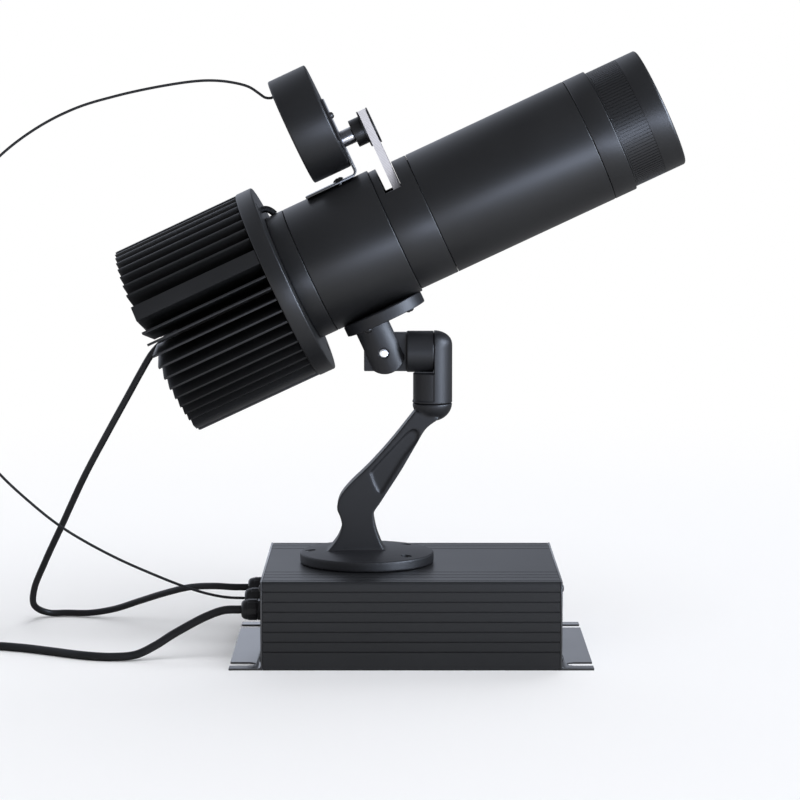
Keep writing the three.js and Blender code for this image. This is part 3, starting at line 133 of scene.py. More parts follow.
def surface(name, sheen, look, **sockets):
    """A finish. Its look takes a tree and a place, and gives the colour, roughness, relief and its depth."""
    made = bpy.data.materials.new(name)
    made.use_nodes = True
    tree = made.node_tree
    shader = tree.nodes["Principled BSDF"]
    place = put(tree, "ShaderNodeTexCoord", output=3)
    colour, roughness, relief, depth = look(tree, place)
    bump = put(tree, "ShaderNodeBump", {}, {"Height": relief, "Strength": 1.0, "Distance": depth})
    for key, wire in (("Base Color", colour), ("Roughness", roughness), ("Normal", bump)):
        tree.links.new(wire.socket, shader.inputs[key])
    shader.inputs["Specular IOR Level"].default_value = sheen
    for key, value in sockets.items():
        shader.inputs[key.replace("_", " ")].default_value = value
    return made


def grained(name, sheen, dark, light, dullness, spread, grain, tone, depth, **sockets):
    """A finish of two noises: a fine grain in relief, and a broad tone that moves the colour and the gloss.

    Each noise is given as its scale, its detail and, for lines, its stretch.
    """
    def look(tree, place):
        broad = noise(tree, place, *tone)
        return shade(tree, broad, dark, light), dullness + broad * spread, noise(tree, place, *grain), depth

    return surface(name, sheen, look, **sockets)


jacket = grained(
    "jacket", 0.35, dark=(0.006, 0.006, 0.007), light=(0.014, 0.014, 0.016), dullness=0.42, spread=0.16,
    grain=(900, 3), tone=(40, 2), depth=0.00003,
)


def smooth_line(points, fineness=24):
    """The centripetal curve through a route's points, as many close points."""
    route = [np.array(p, float) for p in points]
    route = [2 * route[0] - route[1], *route, 2 * route[-1] - route[-2]]
    line = []
    for a, b, c, d in zip(route, route[1:], route[2:], route[3:]):
        before, across, after = (np.linalg.norm(q - p) ** 0.5 for p, q in ((a, b), (b, c), (c, d)))
        leave = ((b - a) / before - (c - a) / (before + across)) * across + (c - b)
        arrive = (c - b) + ((d - c) / after - (d - b) / (across + after)) * across
        for i in range(fineness):
            t = i / fineness
            line.append(
                b * (2 * t**3 - 3 * t**2 + 1) + leave * (t**3 - 2 * t**2 + t)
                + c * (3 * t**2 - 2 * t**3) + arrive * (t**3 - t**2)
            )
    line.append(route[-2])
    return np.array(line)


def stretch_of(line, start=0.0, end=None, step=2.5):
    """Evenly spaced points of a line from one length of it to another, in millimetres."""
    lengths = np.concatenate([[0], np.cumsum(np.linalg.norm(np.diff(line, axis=0), axis=1))])
    end = lengths[-1] if end is None else end
    marks = np.linspace(start, end, max(8, round((end - start) / step)))
    return np.column_stack([np.interp(marks, lengths, line[:, k]) for k in range(3)])


def curve_mesh(lines, closed, **settings):
    """The mesh of a curve with its settings, along lines of points in metres."""
    curve = bpy.data.curves.new("line", "CURVE")
    for key, value in settings.items():
        setattr(curve, key, value)
    for line in lines:
        spline = curve.splines.new("POLY")
        spline.points.add(len(line) - 1)
        spline.use_cyclic_u = closed
        for knot, point in zip(spline.points, line):
            knot.co = (*point, 1)
    holder = bpy.data.objects.new("line", curve)
    mesh = bpy.data.meshes.new_from_object(holder)
    bpy.data.objects.remove(holder)
    bpy.data.curves.remove(curve)
    return mesh


def cord_mesh(points, diameter):
    """A round cord along close points, as one closed tube."""
    line = [Vector(point) * mm for point in points]
    return curve_mesh(
        [line], False, dimensions="3D", bevel_depth=diameter / 2 * mm, bevel_resolution=5, use_fill_caps=True,
    )


def scaled(place):
    """A place given in millimetres, for a mesh in metres."""
    result = place.copy()
    result.translation = place.translation * mm
    return result


def shown(name, mesh, look, nodes=(), body=None, smooth=35, place=None):
    """A finished mesh as a piece in its look. It replaces the nodes and rides on the body that are named."""
    if place is not None:
        mesh.transform(scaled(place))
    mesh.name = name
    mesh.materials.clear()
    mesh.materials.append(look)
    mesh.polygons.foreach_set("material_index", [0] * len(mesh.polygons))
    mesh.shade_smooth()
    mesh.set_sharp_from_angle(angle=math.radians(smooth))
    piece = added(name, mesh)
    if body:
        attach(piece, body)
    if nodes:
        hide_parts(*nodes)
    return piece


def hanging_cord(name, line, diameter, cuts, joins):
    """A cord in three stretches, cut at the given lengths along its line. Each replaces its node."""
    marks = [0.0, *cuts, None]
    parts = zip(("upper", "middle", "lower"), marks, marks[1:], joins)
    for part, start, end, (first, second, bend_to) in parts:
        points = stretch_of(line, start, end)
        node = f"{name}_{part}"
        piece = shown(node + "_jacket", cord_mesh(points, diameter), jacket, [node])
        bend_end = points[-1] if bend_to is None else points[0] + np.array(bend_to)
        bend_end * mm
        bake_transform(piece)
        "hanging" if part != "lower" else "loose"


def turned_into(points, place):
    """Points of a place's own frame, in the part's frame, in millimetres."""
    return [tuple(place @ Vector(p)) for p in points]


# The head's own frame: x along the light, from the tilt pivot. Pieces that touch stand a small gap apart.
pivot = (-21.9, 0, 241.8)
head_tilt = 25
head = Matrix.Translation(pivot) @ Matrix.Rotation(math.radians(-head_tilt), 4, "Y")
axis_height = 84.4
gap = 0.3
box_left = -118
gland_reach = 17.6
gland_end = box_left - gland_reach
gland_height = 39.8
gland_spacing = 49

lamp_cord_thickness = 5.6
lamp_exit = -146.8
lamp_route = [
    (-202.8, 0, 247), (-209.4, 0.5, 239.5), (-218.2, 1, 224.9), (-227.4, 3, 208.5), (-246.4, 10, 175),
    (-267, 22, 137.9), (-289.4, 45, 92.8), (-307.1, 68, 57.7), (-319.8, 91, 29.7), (-322, 110, 12),
    (-312, 122, 4), (-296, 124.5, 3.4), (-276, 121, 4), (-254, 113, 9), (-230.8, 100, 18.5),
    (-208, 84, 28.2), (-185.5, 68, 36.2), (-164.8, 55, 39.6), (-146.5, gland_spacing, gland_height),
    (gland_end, gland_spacing, gland_height),
]
lamp_start = turned_into([(lamp_exit - way, 0, axis_height) for way in (gap, lamp_cord_thickness)], head)
hanging_cord(
    "lamp_cord", smooth_line(lamp_start + lamp_route), lamp_cord_thickness, (118.0, 222.0),
    [("head", "swivel", None), ("swivel", "elbow", None), ("elbow", "base", (35, 0, -75))],
)

motor_wire_thickness = 2.2
motor_rear = 7
wire_height = axis_height + 137.6
wire_route = [
    (-116.5, 0, 445.2), (-121.5, 0, 448.6), (-129.6, 0, 453.8), (-144.8, 0, 457.6), (-160.1, 0, 458.8),
    (-175.6, 0, 457.9), (-206, 0, 453.1), (-236.6, 0, 446.3), (-267.3, 0, 437.1), (-298, 0, 421.9),
    (-329, 0, 399), (-360, 0, 365), (-380, 0, 322), (-387.5, 0, 275), (-382, 0, 227), (-363.5, 0, 182),
    (-336, 0, 144.5), (-305.8, 0, 115.6), (-285.8, 0, 99.6), (-264.3, 0, 86), (-236.4, 0, 71.2),
    (-208.5, 0, 58.8), (-187.4, 0, 50.3), (-166.6, 0, 43.6), (-150, 0, 40.4), (gland_end, 0, gland_height),
]
wire_start = turned_into(
    [(motor_rear - gap - way, 0, wire_height) for way in (0, motor_wire_thickness)], head
)
hanging_cord(
    "motor_wire", smooth_line(wire_start + wire_route), motor_wire_thickness, (236.0, 440.0),
    [("head", "swivel", None), ("swivel", "elbow", None), ("elbow", "base", None)],
)

# Mains lead: a thicker round lead from the front gland down to the floor. Its slack lies in a flat coil in
# two layers beside the box, and it ends in a moulded plug with two round pins.
mains_thickness = 6.6
lead_low = 3.5
coil_centre = (-394, 32)
coil_outer = 45
coil_pitch = 7.2
coil_dip = 1.2
coil_steps = 40
turns_in = 2.5
turns_up = 0.5
turns_out = 2.25
mains_route = [
    (gland_end, -gland_spacing, gland_height), (-149.2, -gland_spacing, 39.2), (-163, -50, 34.5),
    (-176.6, -52, 27.8), (-190.2, -54, 20.3), (-203.8, -56, 11.9), (-219.1, -58, 5), (-237.6, -59, lead_low),
    (-258.9, -54, lead_low), (-289.3, -37, lead_low), (-312.2, -24.5, lead_low), (-336, -16, lead_low),
    (-362, -13, lead_low), (-387.1, -13, lead_low),
]


def coil_point(turns):
    """A place in the coil: inwards on the floor, up a layer in half a turn, and outwards on top."""
    climb = turns_in + turns_up
    inside = coil_outer - turns_in * coil_pitch
    over = min(max((turns - turns_in) / turns_up, 0), 1)
    radius = coil_outer - turns * coil_pitch
    if turns > turns_in:
        radius = inside - coil_dip * math.sin(over * math.pi)
    if turns > climb:
        radius = inside + (turns - climb) * coil_pitch
    angle = -math.pi / 2 - turns * 2 * math.pi
    return (
        coil_centre[0] + radius * math.cos(angle),
        coil_centre[1] + radius * math.sin(angle),
        lead_low + coil_pitch * over,
    )


all_turns = turns_in + turns_up + turns_out
coil_line = [coil_point(i / coil_steps) for i in range(round(all_turns * coil_steps) + 1)]
coil_end = coil_line[-1]
plug_start = coil_end[1] + mains_thickness + gap
lead_line = [*smooth_line(mains_route), *coil_line, (coil_end[0], plug_start - gap, coil_end[2])]
lead_points = stretch_of(np.array(lead_line), step=2.2)
mains = shown(
    "mains_cord", cord_mesh(lead_points, mains_thickness), jacket,
    ["mains_lead", "mains_coil"], "base",
)

# Plug: one soft moulding with rounded corners, and a ribbed, tapered relief over the cord. Two round pins of
# bright steel stand in its end.
plug_width = 34
plug_height = 20.8
plug_length = 36
plug_corner = 4
relief_length = 36
relief_tip = 4.0
relief_root = 6.6
relief_ribs = 7
rib_width = 1.6
rib_sink = 0.8
pin_spacing = 19
pin_radius = 2.4
pin_reach = 19
pin_sink = 5


def at(x=0.0, y=0.0, z=0.0):
    """A place at x, y and z, in millimetres, and not turned."""
    return Matrix.Translation((x, y, z))


def eased(outline, radius, steps=3):
    """An outline with its corners rounded. Corners on the axis of a turned piece stay as they are."""
    points = [Vector(p) for p in outline]
    result = []
    for i, corner in enumerate(points):
        before = points[i - 1] - corner
        after = points[(i + 1) % len(points)] - corner
        on_axis = abs(corner.y) < 1e-6
        straight = before.length < 1e-6 or after.length < 1e-6 or before.angle(after) > math.radians(150)
        if on_axis or straight:
            result.append(corner)
            continue
        reach = min(radius, 0.45 * before.length, 0.45 * after.length)
        a, b = corner + before.normalized() * reach, corner + after.normalized() * reach
        for k in range(steps + 1):
            t = k / steps
            result.append(a * (1 - t) ** 2 + corner * 2 * t * (1 - t) + b * t**2)
    return result


def cleaned(work, mesh, nearness):
    """The work put in a mesh, with its doubles merged and its faces pointing outwards."""
    bmesh.ops.remove_doubles(work, verts=work.verts, dist=nearness)
    bmesh.ops.recalc_face_normals(work, faces=work.faces)
    work.to_mesh(mesh)
    work.free()
    return mesh


def turned(outline, place=None, sides=96, ease=0.0):
    """A closed outline of [x, radius] points turned about the X axis of a place."""
    work = bmesh.new()
    rings = []
    for x, radius in eased(outline, ease) if ease else outline:
        count = 1 if radius < 1e-6 else sides
        angles = [2 * math.pi * k / sides for k in range(count)]
        rings.append([work.verts.new((x, -radius * math.sin(a), radius * math.cos(a))) for a in angles])
    for ring, after in zip(rings, rings[1:] + rings[:1]):
        for k in range(sides):
            corners = [ring[k % len(ring)], ring[(k + 1) % len(ring)],
                       after[(k + 1) % len(after)], after[k % len(after)]]
            corners = list(dict.fromkeys(corners))
            if len(corners) > 2:
                work.faces.new(corners)
    mesh = cleaned(work, bpy.data.meshes.new("turned"), 1e-5)
    mesh.transform(Matrix.Scale(mm, 4))
    if place is not None:
        mesh.transform(scaled(place))
    return mesh


def rod(start, end, radius, place=None, sides=40, ease=0.0, bore=0.0):
    """A plain rod or tube along the X axis of a place."""
    return turned([(start, bore), (start, radius), (end, radius), (end, bore)], place, sides, ease)


def pressed(outline, low, high, place=None, holes=(), bevel=0.0, steps=2):
    """An outline of [x, y] points, with holes, raised from low to high along Z, with its edges rounded."""
    rings = [[(x * mm, y * mm, 0) for x, y in ring] for ring in (outline, *holes)]
    mesh = curve_mesh(
        rings, True, dimensions="2D", fill_mode="BOTH", extrude=((high - low) / 2 - bevel) * mm,
        bevel_depth=bevel * mm, bevel_resolution=steps, offset=-bevel * mm,
    )
    work = bmesh.new()
    work.from_mesh(mesh)
    cleaned(work, mesh, 1e-7)
    mesh.transform(at(z=(low + high) / 2 * mm))
    if place is not None:
        mesh.transform(scaled(place))
    return mesh


def joined(*meshes):
    """Several meshes as one."""
    work = bmesh.new()
    for mesh in meshes:
        work.from_mesh(mesh)
    result = bpy.data.meshes.new("joined")
    work.to_mesh(result)
    work.free()
    return result


def arc(cx, cy, radius, start, end, steps):
    """Points round a centre, from one angle to another in degrees."""
    angles = [math.radians(start + (end - start) * k / steps) for k in range(steps + 1)]
    return [(cx + radius * math.cos(a), cy + radius * math.sin(a)) for a in angles]


heading_y = Matrix(((0, -1, 0, 0), (1, 0, 0, 0), (0, 0, 1, 0), (0, 0, 0, 1)))
raised_to_y = Matrix(((1, 0, 0, 0), (0, 0, 1, 0), (0, -1, 0, 0), (0, 0, 0, 1)))
relief_outline = [(0.0, 0.0), (0.0, relief_tip)]
for i in range(relief_ribs):
    start = 2 + i * (relief_length - 6) / relief_ribs
    end = start + rib_width
    size = relief_tip + (relief_root - relief_tip) * start / relief_length
    relief_outline += [(start, size), (start, size - rib_sink), (end, size - rib_sink), (end, size + 0.2)]
relief_outline += [(relief_length + 1, relief_root), (relief_length + 1, 0.0)]
plug_place = at(coil_end[0], plug_start, coil_end[2]) @ heading_y
relief = turned(relief_outline, plug_place, 40, 0.35)
half_width, half_height = plug_width / 2 - plug_corner, plug_height / 2 - plug_corner
plug_section = []
for i, (x, y) in enumerate(((1, 1), (-1, 1), (-1, -1), (1, -1))):
    plug_section += arc(x * half_width, y * half_height, plug_corner, 90 * i, 90 * i + 90, 6)
plug_at = at(coil_end[0], plug_start + relief_length, coil_end[2]) @ raised_to_y
plug_body = pressed(plug_section, 0, plug_length, plug_at, bevel=1.6, steps=4)
shown("plug_moulding", joined(relief, plug_body), jacket, ["mains_plug"], "base")

# Bright turned steel has faint tool lines and handling marks.
bright_steel = grained(
    "bright_steel", 0.5, dark=(0.36, 0.355, 0.36), light=(0.5, 0.495, 0.5), dullness=0.2, spread=0.14,
    grain=(700, 2, (1, 1, 9)), tone=(60, 4), depth=0.000008, Metallic=1.0,
)
for side, node in ((-1, "plug_pin_left"), (1, "plug_pin_right")):
    place = plug_place @ at(relief_length + plug_length, side * pin_spacing / 2)
    pin = rod(-pin_sink, pin_reach, pin_radius, place, 32, 1.2)
    shown(node + "_bright", pin, bright_steel, [node], "base")

# Driver box: one aluminium extrusion with fine grooves along its front, back and roof, sawn to length and
# anodised black. The die leaves faint lines along it.
box_length = 236
box_depth = 188
box_height = 70
case_wall = 2.5
plate_thickness = 1.5
case_half = box_length / 2 - plate_thickness - gap
groove_width = 1.3
groove_depth = 1.1
front_grooves = 7
groove_pitch = 7.93
groove_drop = 7.8
front_roof_shares = (0.242, 0.1755, 0.117, 0.0372)
back_roof_shares = (0.165, 0.0957, 0.0372)
case_edge = 2.0
flange_x = -35.8
flange_radius = 54.3
flange_screw_shares = ((-0.847, 0), (0.589, 0.527), (0.589, -0.527))
screw_hole = 2.3


def case_outline():
    """The cross-section as [y, z] points, counter-clockwise from the floor's front corner."""
    half = box_depth / 2
    w = groove_width / 2
    levels = [box_height - groove_drop - i * groove_pitch for i in range(front_grooves)]
    points = [(-half, 0), (half, 0)]
    for z in reversed(levels):
        points += [(half, z - w), (half - groove_depth, z - w), (half - groove_depth, z + w), (half, z + w)]
    points += arc(half - case_edge, box_height - case_edge, case_edge, 0, 90, 5)
    roof = [half - share * box_depth for share in reversed(back_roof_shares)]
    roof += [share * box_depth - half for share in front_roof_shares]
    for y in roof:
        points += [
            (y + w, box_height), (y + w, box_height - groove_depth),
            (y - w, box_height - groove_depth), (y - w, box_height),
        ]
    points += arc(case_edge - half, box_height - case_edge, case_edge, 90, 180, 5)
    for z in levels:
        points += [(-half, z + w), (groove_depth - half, z + w), (groove_depth - half, z - w), (-half, z - w)]
    return points


def rectangle(x, y):
    """The corners of a rectangle between two x and two y values."""
    return [(x[0], y[0]), (x[1], y[0]), (x[1], y[1]), (x[0], y[1])]


def result_of(holder, *helpers):
    """The mesh that an object's modifiers make. The object and its helpers are taken away."""
    bpy.context.view_layer.update()
    graph = bpy.context.evaluated_depsgraph_get()
    mesh = bpy.data.meshes.new_from_object(holder.evaluated_get(graph))
    for done in (holder, *helpers):
        bpy.data.objects.remove(done)
    return mesh


def worked(mesh, *steps):
    """A mesh after modifiers, each given as its type and its settings."""
    holder = added("work", mesh)
    helpers = []
    for kind, settings in steps:
        modifier = holder.modifiers.new(kind.lower(), kind)
        for key, value in settings.items():
            if isinstance(value, bpy.types.Mesh):
                value = added("tool", value)
                helpers.append(value)
            setattr(modifier, key, value)
    return result_of(holder, *helpers)


def boolean(operation, other):
    """The step that joins another mesh to a mesh, or cuts the mesh with it."""
    return "BOOLEAN", {"operation": operation, "solver": "EXACT", "object": other}


def cut_by(mesh, *tools):
    """A mesh with the shapes of the tools taken away. A tool's free ends reach past the mesh."""
    return worked(mesh, *[boolean("DIFFERENCE", tool) for tool in tools])


def extruded_look(tree, place):
    """Anodised extrusion: lines along X, a fine etched grain and a slow change of tone."""
    lines = noise(tree, place, 30, 4, (0.4, 60, 60))
    grain = noise(tree, place, 1400)
    tone = noise(tree, place, 9, 2)
    colour = shade(tree, tone * 0.6 + lines * 0.4, (0.010, 0.0105, 0.0118), (0.017, 0.0175, 0.0195))
    return colour, 0.34 + tone * 0.08 + lines * 0.08, lines * 0.6 + grain * 0.4, 0.00002


# The first lays a pressed piece along X, and the second stands a turned piece up.
along_x = Matrix(((0, 0, 1, 0), (1, 0, 0, 0), (0, 1, 0, 0), (0, 0, 0, 1)))
upright = Matrix(((0, 0, -1, 0), (0, 1, 0, 0), (1, 0, 0, 0), (0, 0, 0, 1)))
box_skin = surface("box_skin", 0.36, extruded_look, Coat_Weight=0.15, Coat_Roughness=0.3)
inner = box_depth / 2 - case_wall
hollow = rectangle((-inner, inner), (case_wall, box_height - case_wall))
case = pressed(case_outline(), -case_half, case_half, along_x, [hollow])
flange_screws = [(flange_x + x * flange_radius, y * flange_radius) for x, y in flange_screw_shares]
for x, y in flange_screws:
    case = cut_by(case, rod(box_height - 10, box_height + 5, screw_hole, at(x, y) @ upright, 32))
shown("case_extrusion", case, box_skin, ["driver_case"], "base", 25)

# End plates: steel sheet bent to an L, its foot slotted at both ends for the fixing screws. The left one
# carries the glands. Each is held by four pan-head screws.
foot_reach = 25
slot_width = 13
slot_inset = 18
slot_centre = box_length / 2 + foot_reach - 14
bend_radius = 2.5
gland_hole = 6.3
end_screw_top = (3.1, 1.6)
end_screw_y = 84.5
end_screw_levels = (7.5, 63.5)
along_y = Matrix(((1, 0, 0, 0), (0, 0, -1, 0), (0, 1, 0, 0), (0, 0, 0, 1)))
sheet_coat = {
    "dark": (0.018, 0.0185, 0.021), "light": (0.027, 0.0275, 0.031), "dullness": 0.3, "spread": 0.1,
    "grain": (1100, 3), "tone": (14, 3), "depth": 0.000018,
}
plate_skin = grained("plate_skin", 0.5, **sheet_coat, Coat_Weight=0.9, Coat_Roughness=0.14)


def end_plate(side):
    """The plate at one end of the box. Its side is -1 at the left and 1 at the right."""
    outer = box_length / 2
    near = outer - plate_thickness
    profile = [
        (near, 0), (outer + foot_reach, 0), (outer + foot_reach, plate_thickness),
        *arc(outer + bend_radius, plate_thickness + bend_radius, bend_radius, 270, 180, 8),
        (outer, box_height), (near, box_height),
    ]
    profile = [(side * x, z) for x, z in profile]
    plate = pressed(profile, -box_depth / 2, box_depth / 2, along_y, bevel=0.2)
    for end in (-1, 1):
        y = end * (box_depth / 2 - slot_inset)
        half = slot_width / 2
        slot = [*arc(0, 0, half, 90, 270, 16), (foot_reach, -half), (foot_reach, half)]
        slot = [(side * (slot_centre + x), y + v) for x, v in slot]
        plate = cut_by(plate, pressed(slot, -2, plate_thickness + 2))
    return plate


shown("plate_right", end_plate(1), plate_skin, ["end_plate_right"], "base", 25)
left_plate = end_plate(-1)
for y in (-gland_spacing, 0, gland_spacing):
    left_plate = cut_by(left_plate, rod(-3, 3, gland_hole, at(box_left, y, gland_height)))
shown("plate_left", left_plate, plate_skin, ["end_plate_left"], "base", 25)


def pan_head(place, top, shank=None):
    """A domed screw with a cross recess, along X of its place. Top and shank are a radius and a length."""
    radius, height = top
    back = [(0.0, 0.0)]
    if shank:
        back = [(-shank[1], 0.0), (-shank[1], shank[0]), (0.0, shank[0])]
    angles = [math.radians(a) for a in range(0, 90, 15)]
    dome = [(height * math.sin(a), radius * math.cos(a)) for a in angles]
    screw = turned([*back, *dome, (height, 0.0)], None, 32)
    reach, width = 0.55 * radius, 0.16 * radius
    for x, y in ((reach, width), (width, reach)):
        recess = rectangle((-x, x), (-y, y))
        screw = cut_by(screw, pressed(recess, height * 0.45, height * 1.4, along_x))
    screw.transform(scaled(place))
    return screw


# Blackened steel is slightly polished where it has been handled.
black_steel = grained(
    "black_steel", 0.35, dark=(0.010, 0.010, 0.011), light=(0.026, 0.026, 0.028), dullness=0.28,
    spread=0.16, grain=(1200, 3), tone=(90, 3), depth=0.00001,
)
for side, name in ((-1, "end_screws_left"), (1, "end_screws_right")):
    facing = Matrix.Rotation(math.pi if side < 0 else 0, 4, "Z")
    copies = [
        pan_head(at(side * box_length / 2, y, z) @ facing, end_screw_top)
        for y in (-end_screw_y, end_screw_y) for z in end_screw_levels
    ]
    shown(name, joined(*copies), black_steel, (), "base")

# Glands: nylon bodies with a hexagon against the plate, and dome nuts with grip flutes over the cords. The
# moulds give them a fine spark-eroded texture.
gland_hex = 8.9
gland_hex_length = 4
thread_outline = [(-10.5, 4.4), (-10.5, 6.0), (10.2, 5.2), (10.2, 4.4)]
gland_nut_radius = 8.5
gland_nut_length = 12.7
gland_flutes = 12
points_to_flute = 8
flute_depth = 0.35
grip_length = 7.5
dome_root = 8.0
black_plastic = grained(
    "black_plastic", 0.42, dark=(0.0075, 0.0075, 0.008), light=(0.0135, 0.0135, 0.0145), dullness=0.36,
    spread=0.1, grain=(1600, 2), tone=(70, 2), depth=0.00002,
)


def polygon(radius, sides=6):
    """The corners of a regular polygon round the origin."""
    return arc(0, 0, radius, 0, 360 - 360 / sides, sides - 1)


fluted = []
for k in range(gland_flutes * points_to_flute):
    angle = 2 * math.pi * k / (gland_flutes * points_to_flute)
    radius = gland_nut_radius - flute_depth * (0.5 + 0.5 * math.cos(2 * math.pi * k / points_to_flute))
    fluted.append((radius * math.cos(angle), radius * math.sin(angle)))
for which, y, thickness in (
    ("front", -gland_spacing, mains_thickness), ("middle", 0, motor_wire_thickness),
    ("back", gland_spacing, lamp_cord_thickness),
):
    place = at(box_left, y, gland_height) @ Matrix.Rotation(math.pi, 4, "Z")
    hexagon = pressed(polygon(gland_hex), gap, gap + gland_hex_length, place @ along_x, bevel=0.5)
    gland = joined(hexagon, turned(thread_outline, place, 40, 0.2))
    node = "gland_body_" + which
    shown(node + "_moulding", gland, black_plastic, [node], "base")
    start = gap + gland_hex_length + gap
    end = start + gland_nut_length
    grip = pressed(fluted, start, start + grip_length, place @ along_x, bevel=0.5)
    mouth = thickness / 2 + 0.15
    dome = [
        (start + 5, 0.0), (start + 5, dome_root), (end - 4.2, dome_root), (end - 1.5, 7.2), (end - 0.2, 5.6),
        (end, 4.4), (end, mouth), (end - 2, mouth), (end - 2, 0.0),
    ]
    nut = joined(grip, turned(dome, place, 64, 0.5))
    node = "gland_nut_" + which
    shown(node + "_moulding", nut, black_plastic, [node], "base")


# Lamp driver: the supply in its sheet steel can, inside the box, where no side shows it. Its solid has the
# right shape and only gets its finish.
def dressed(node, look):
    """A CAD node whose shape is right, in its look."""
    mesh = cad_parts[node].data
    mesh.materials.clear()
    mesh.materials.append(look)


dressed("lamp_driver", grained("driver_skin", 0.5, **sheet_coat, Metallic=0.9))

# Arm: one aluminium die casting, blasted and powder coated. A round flange stands on the box, and a
# flat-sided neck with a shallow pocket rises from it to the bowl under the pan joint.
flange_low = 70.3
flange_top = 78.6
flange_dome = 2.8
flange_edge = 2.2
arm_reach = 53
arm_thickness = 24
pan_x = flange_x + arm_reach
pan_height = 200.4
pan_seam = 0.3
pan_pin_low = 188.1
pin_hole = 4.3
elbow_radius = 16.1
bowl_depth = 15
pocket_depth = 1.7
screw_head_radius = 4
screw_head_depth = 2.4
screw_seat = flange_top - screw_head_depth
left_edge = [
    (-0.66, -0.015), (-0.57, 0.028), (-0.438, 0.107), (-0.381, 0.188), (-0.406, 0.244), (-0.453, 0.299),
    (-0.421, 0.368), (-0.311, 0.438), (0.064, 0.601), (0.375, 0.753), (0.736, 0.951),
]
right_edge = [
    (0.345, -0.015), (0.262, 0.028), (0.189, 0.094), (0.125, 0.188), (0.109, 0.272), (0.189, 0.327),
    (0.313, 0.411), (0.532, 0.56), (0.751, 0.725), (0.904, 0.834), (1.1, 0.9),
]
pocket_edge = [
    (0.055, 0.545), (0.115, 0.468), (0.21, 0.405), (0.3, 0.46), (0.56, 0.64), (0.79, 0.78), (0.76, 0.822),
    (0.69, 0.828), (0.36, 0.69),
]


def arm_line(shares):
    """A smooth edge of the neck as [x, z] points, from shares of its reach and of its rise."""
    rise = pan_height - flange_top
    route = [(flange_x + x * arm_reach, 0, flange_top + z * rise) for x, z in shares]
    return [(p[0], p[2]) for p in smooth_line(route, 8)]


def cast(parts, tools, grain, rounds):
    """A casting: parts made one and cut, then its edges and corners rounded at a grain, in rounds."""
    return worked(
        parts[0], *[boolean("UNION", part) for part in parts[1:]],
        *[boolean("DIFFERENCE", tool) for tool in tools],
        ("REMESH", {"mode": "VOXEL", "voxel_size": grain * mm}),
        ("SMOOTH", {"factor": 0.5, "iterations": rounds}),
    )


def coated_look(tree, place):
    """Powder coat over a blasted casting: a fine even grain and a slow, soft unevenness."""
    grain = noise(tree, place, 900, 2)
    waves = noise(tree, place, 45, 2)
    tone = noise(tree, place, 22, 3)
    colour = shade(tree, tone, (0.013, 0.0135, 0.016), (0.020, 0.0205, 0.024))
    return colour, 0.42 + tone * 0.1, grain * 0.5 + waves * 0.5, 0.00006


coated = surface("coated_casting", 0.35, coated_look)
flange_profile = [(flange_low, 0.0), (flange_low, flange_radius), (flange_top, flange_radius)]
for share in [1 - k / 6 for k in range(7)]:
    flange_profile.append((flange_top + flange_dome * (1 - share**2), (flange_radius - flange_edge) * share))
flange = turned(flange_profile, at(flange_x) @ upright, 128)
half_arm = arm_thickness / 2
neck = pressed([*arm_line(left_edge), *reversed(arm_line(right_edge))], -half_arm, half_arm, along_y)
bowl_top = pan_height - pan_seam / 2
bowl_profile = [(bowl_top, 0.0)]
for angle in [math.radians(a) for a in range(0, 90, 9)]:
    bowl_profile.append((bowl_top - bowl_depth * math.sin(angle), elbow_radius * math.cos(angle)))
bowl_profile.append((bowl_top - bowl_depth, 0.0))
pan_place = at(pan_x) @ upright
bowl = turned(bowl_profile, pan_place)
pocket = arm_line([*pocket_edge, pocket_edge[0]])[:-1]
pockets = [
    pressed(pocket, half_arm - pocket_depth, half_arm + 5, along_y),
    pressed(pocket, -half_arm - 5, pocket_depth - half_arm, along_y),
]
arm = cast([flange, neck, bowl], pockets, grain=0.85, rounds=7)
seat, sink_radius = screw_seat - gap, screw_head_radius + gap
sink_outline = [
    (60, 0.0), (60, screw_hole), (seat, screw_hole), (seat, sink_radius), (90, sink_radius), (90, 0.0),
]
sinks = [turned(sink_outline, at(x, y) @ upright, 40) for x, y in flange_screws]
pin_room = rod(pan_pin_low, 210, pin_hole, pan_place)
shown("arm_casting", cut_by(arm, *sinks, pin_room), coated, ["mount_arm"], "base", 50)


# Flange screws: blackened steel cap screws with hexagon sockets, sunk in the flange. They hold the arm to
# the box's roof.
def socket_screw(place, top, shank, socket):
    """A cap screw along X of its place. Its top, shank and hexagon socket are a radius and a length."""
    radius, height = top
    outline = [
        (-shank[1], 0.0), (-shank[1], shank[0]), (0.0, shank[0]), (0.0, radius), (height, radius),
        (height, 0.0),
    ]
    screw = turned(outline, None, 48, 0.3)
    screw = cut_by(screw, pressed(polygon(socket[0]), height - socket[1], height + 1, along_x))
    screw.transform(scaled(place))
    return screw


for i, (x, y) in enumerate(flange_screws):
    node = f"flange_screw_{i + 1}"
    top = (screw_head_radius, screw_head_depth)
    screw = socket_screw(at(x, y, screw_seat) @ upright, top, shank=(2, 14), socket=(1.9, 1.6))
    shown(node + "_black", screw, black_steel, [node], "base")

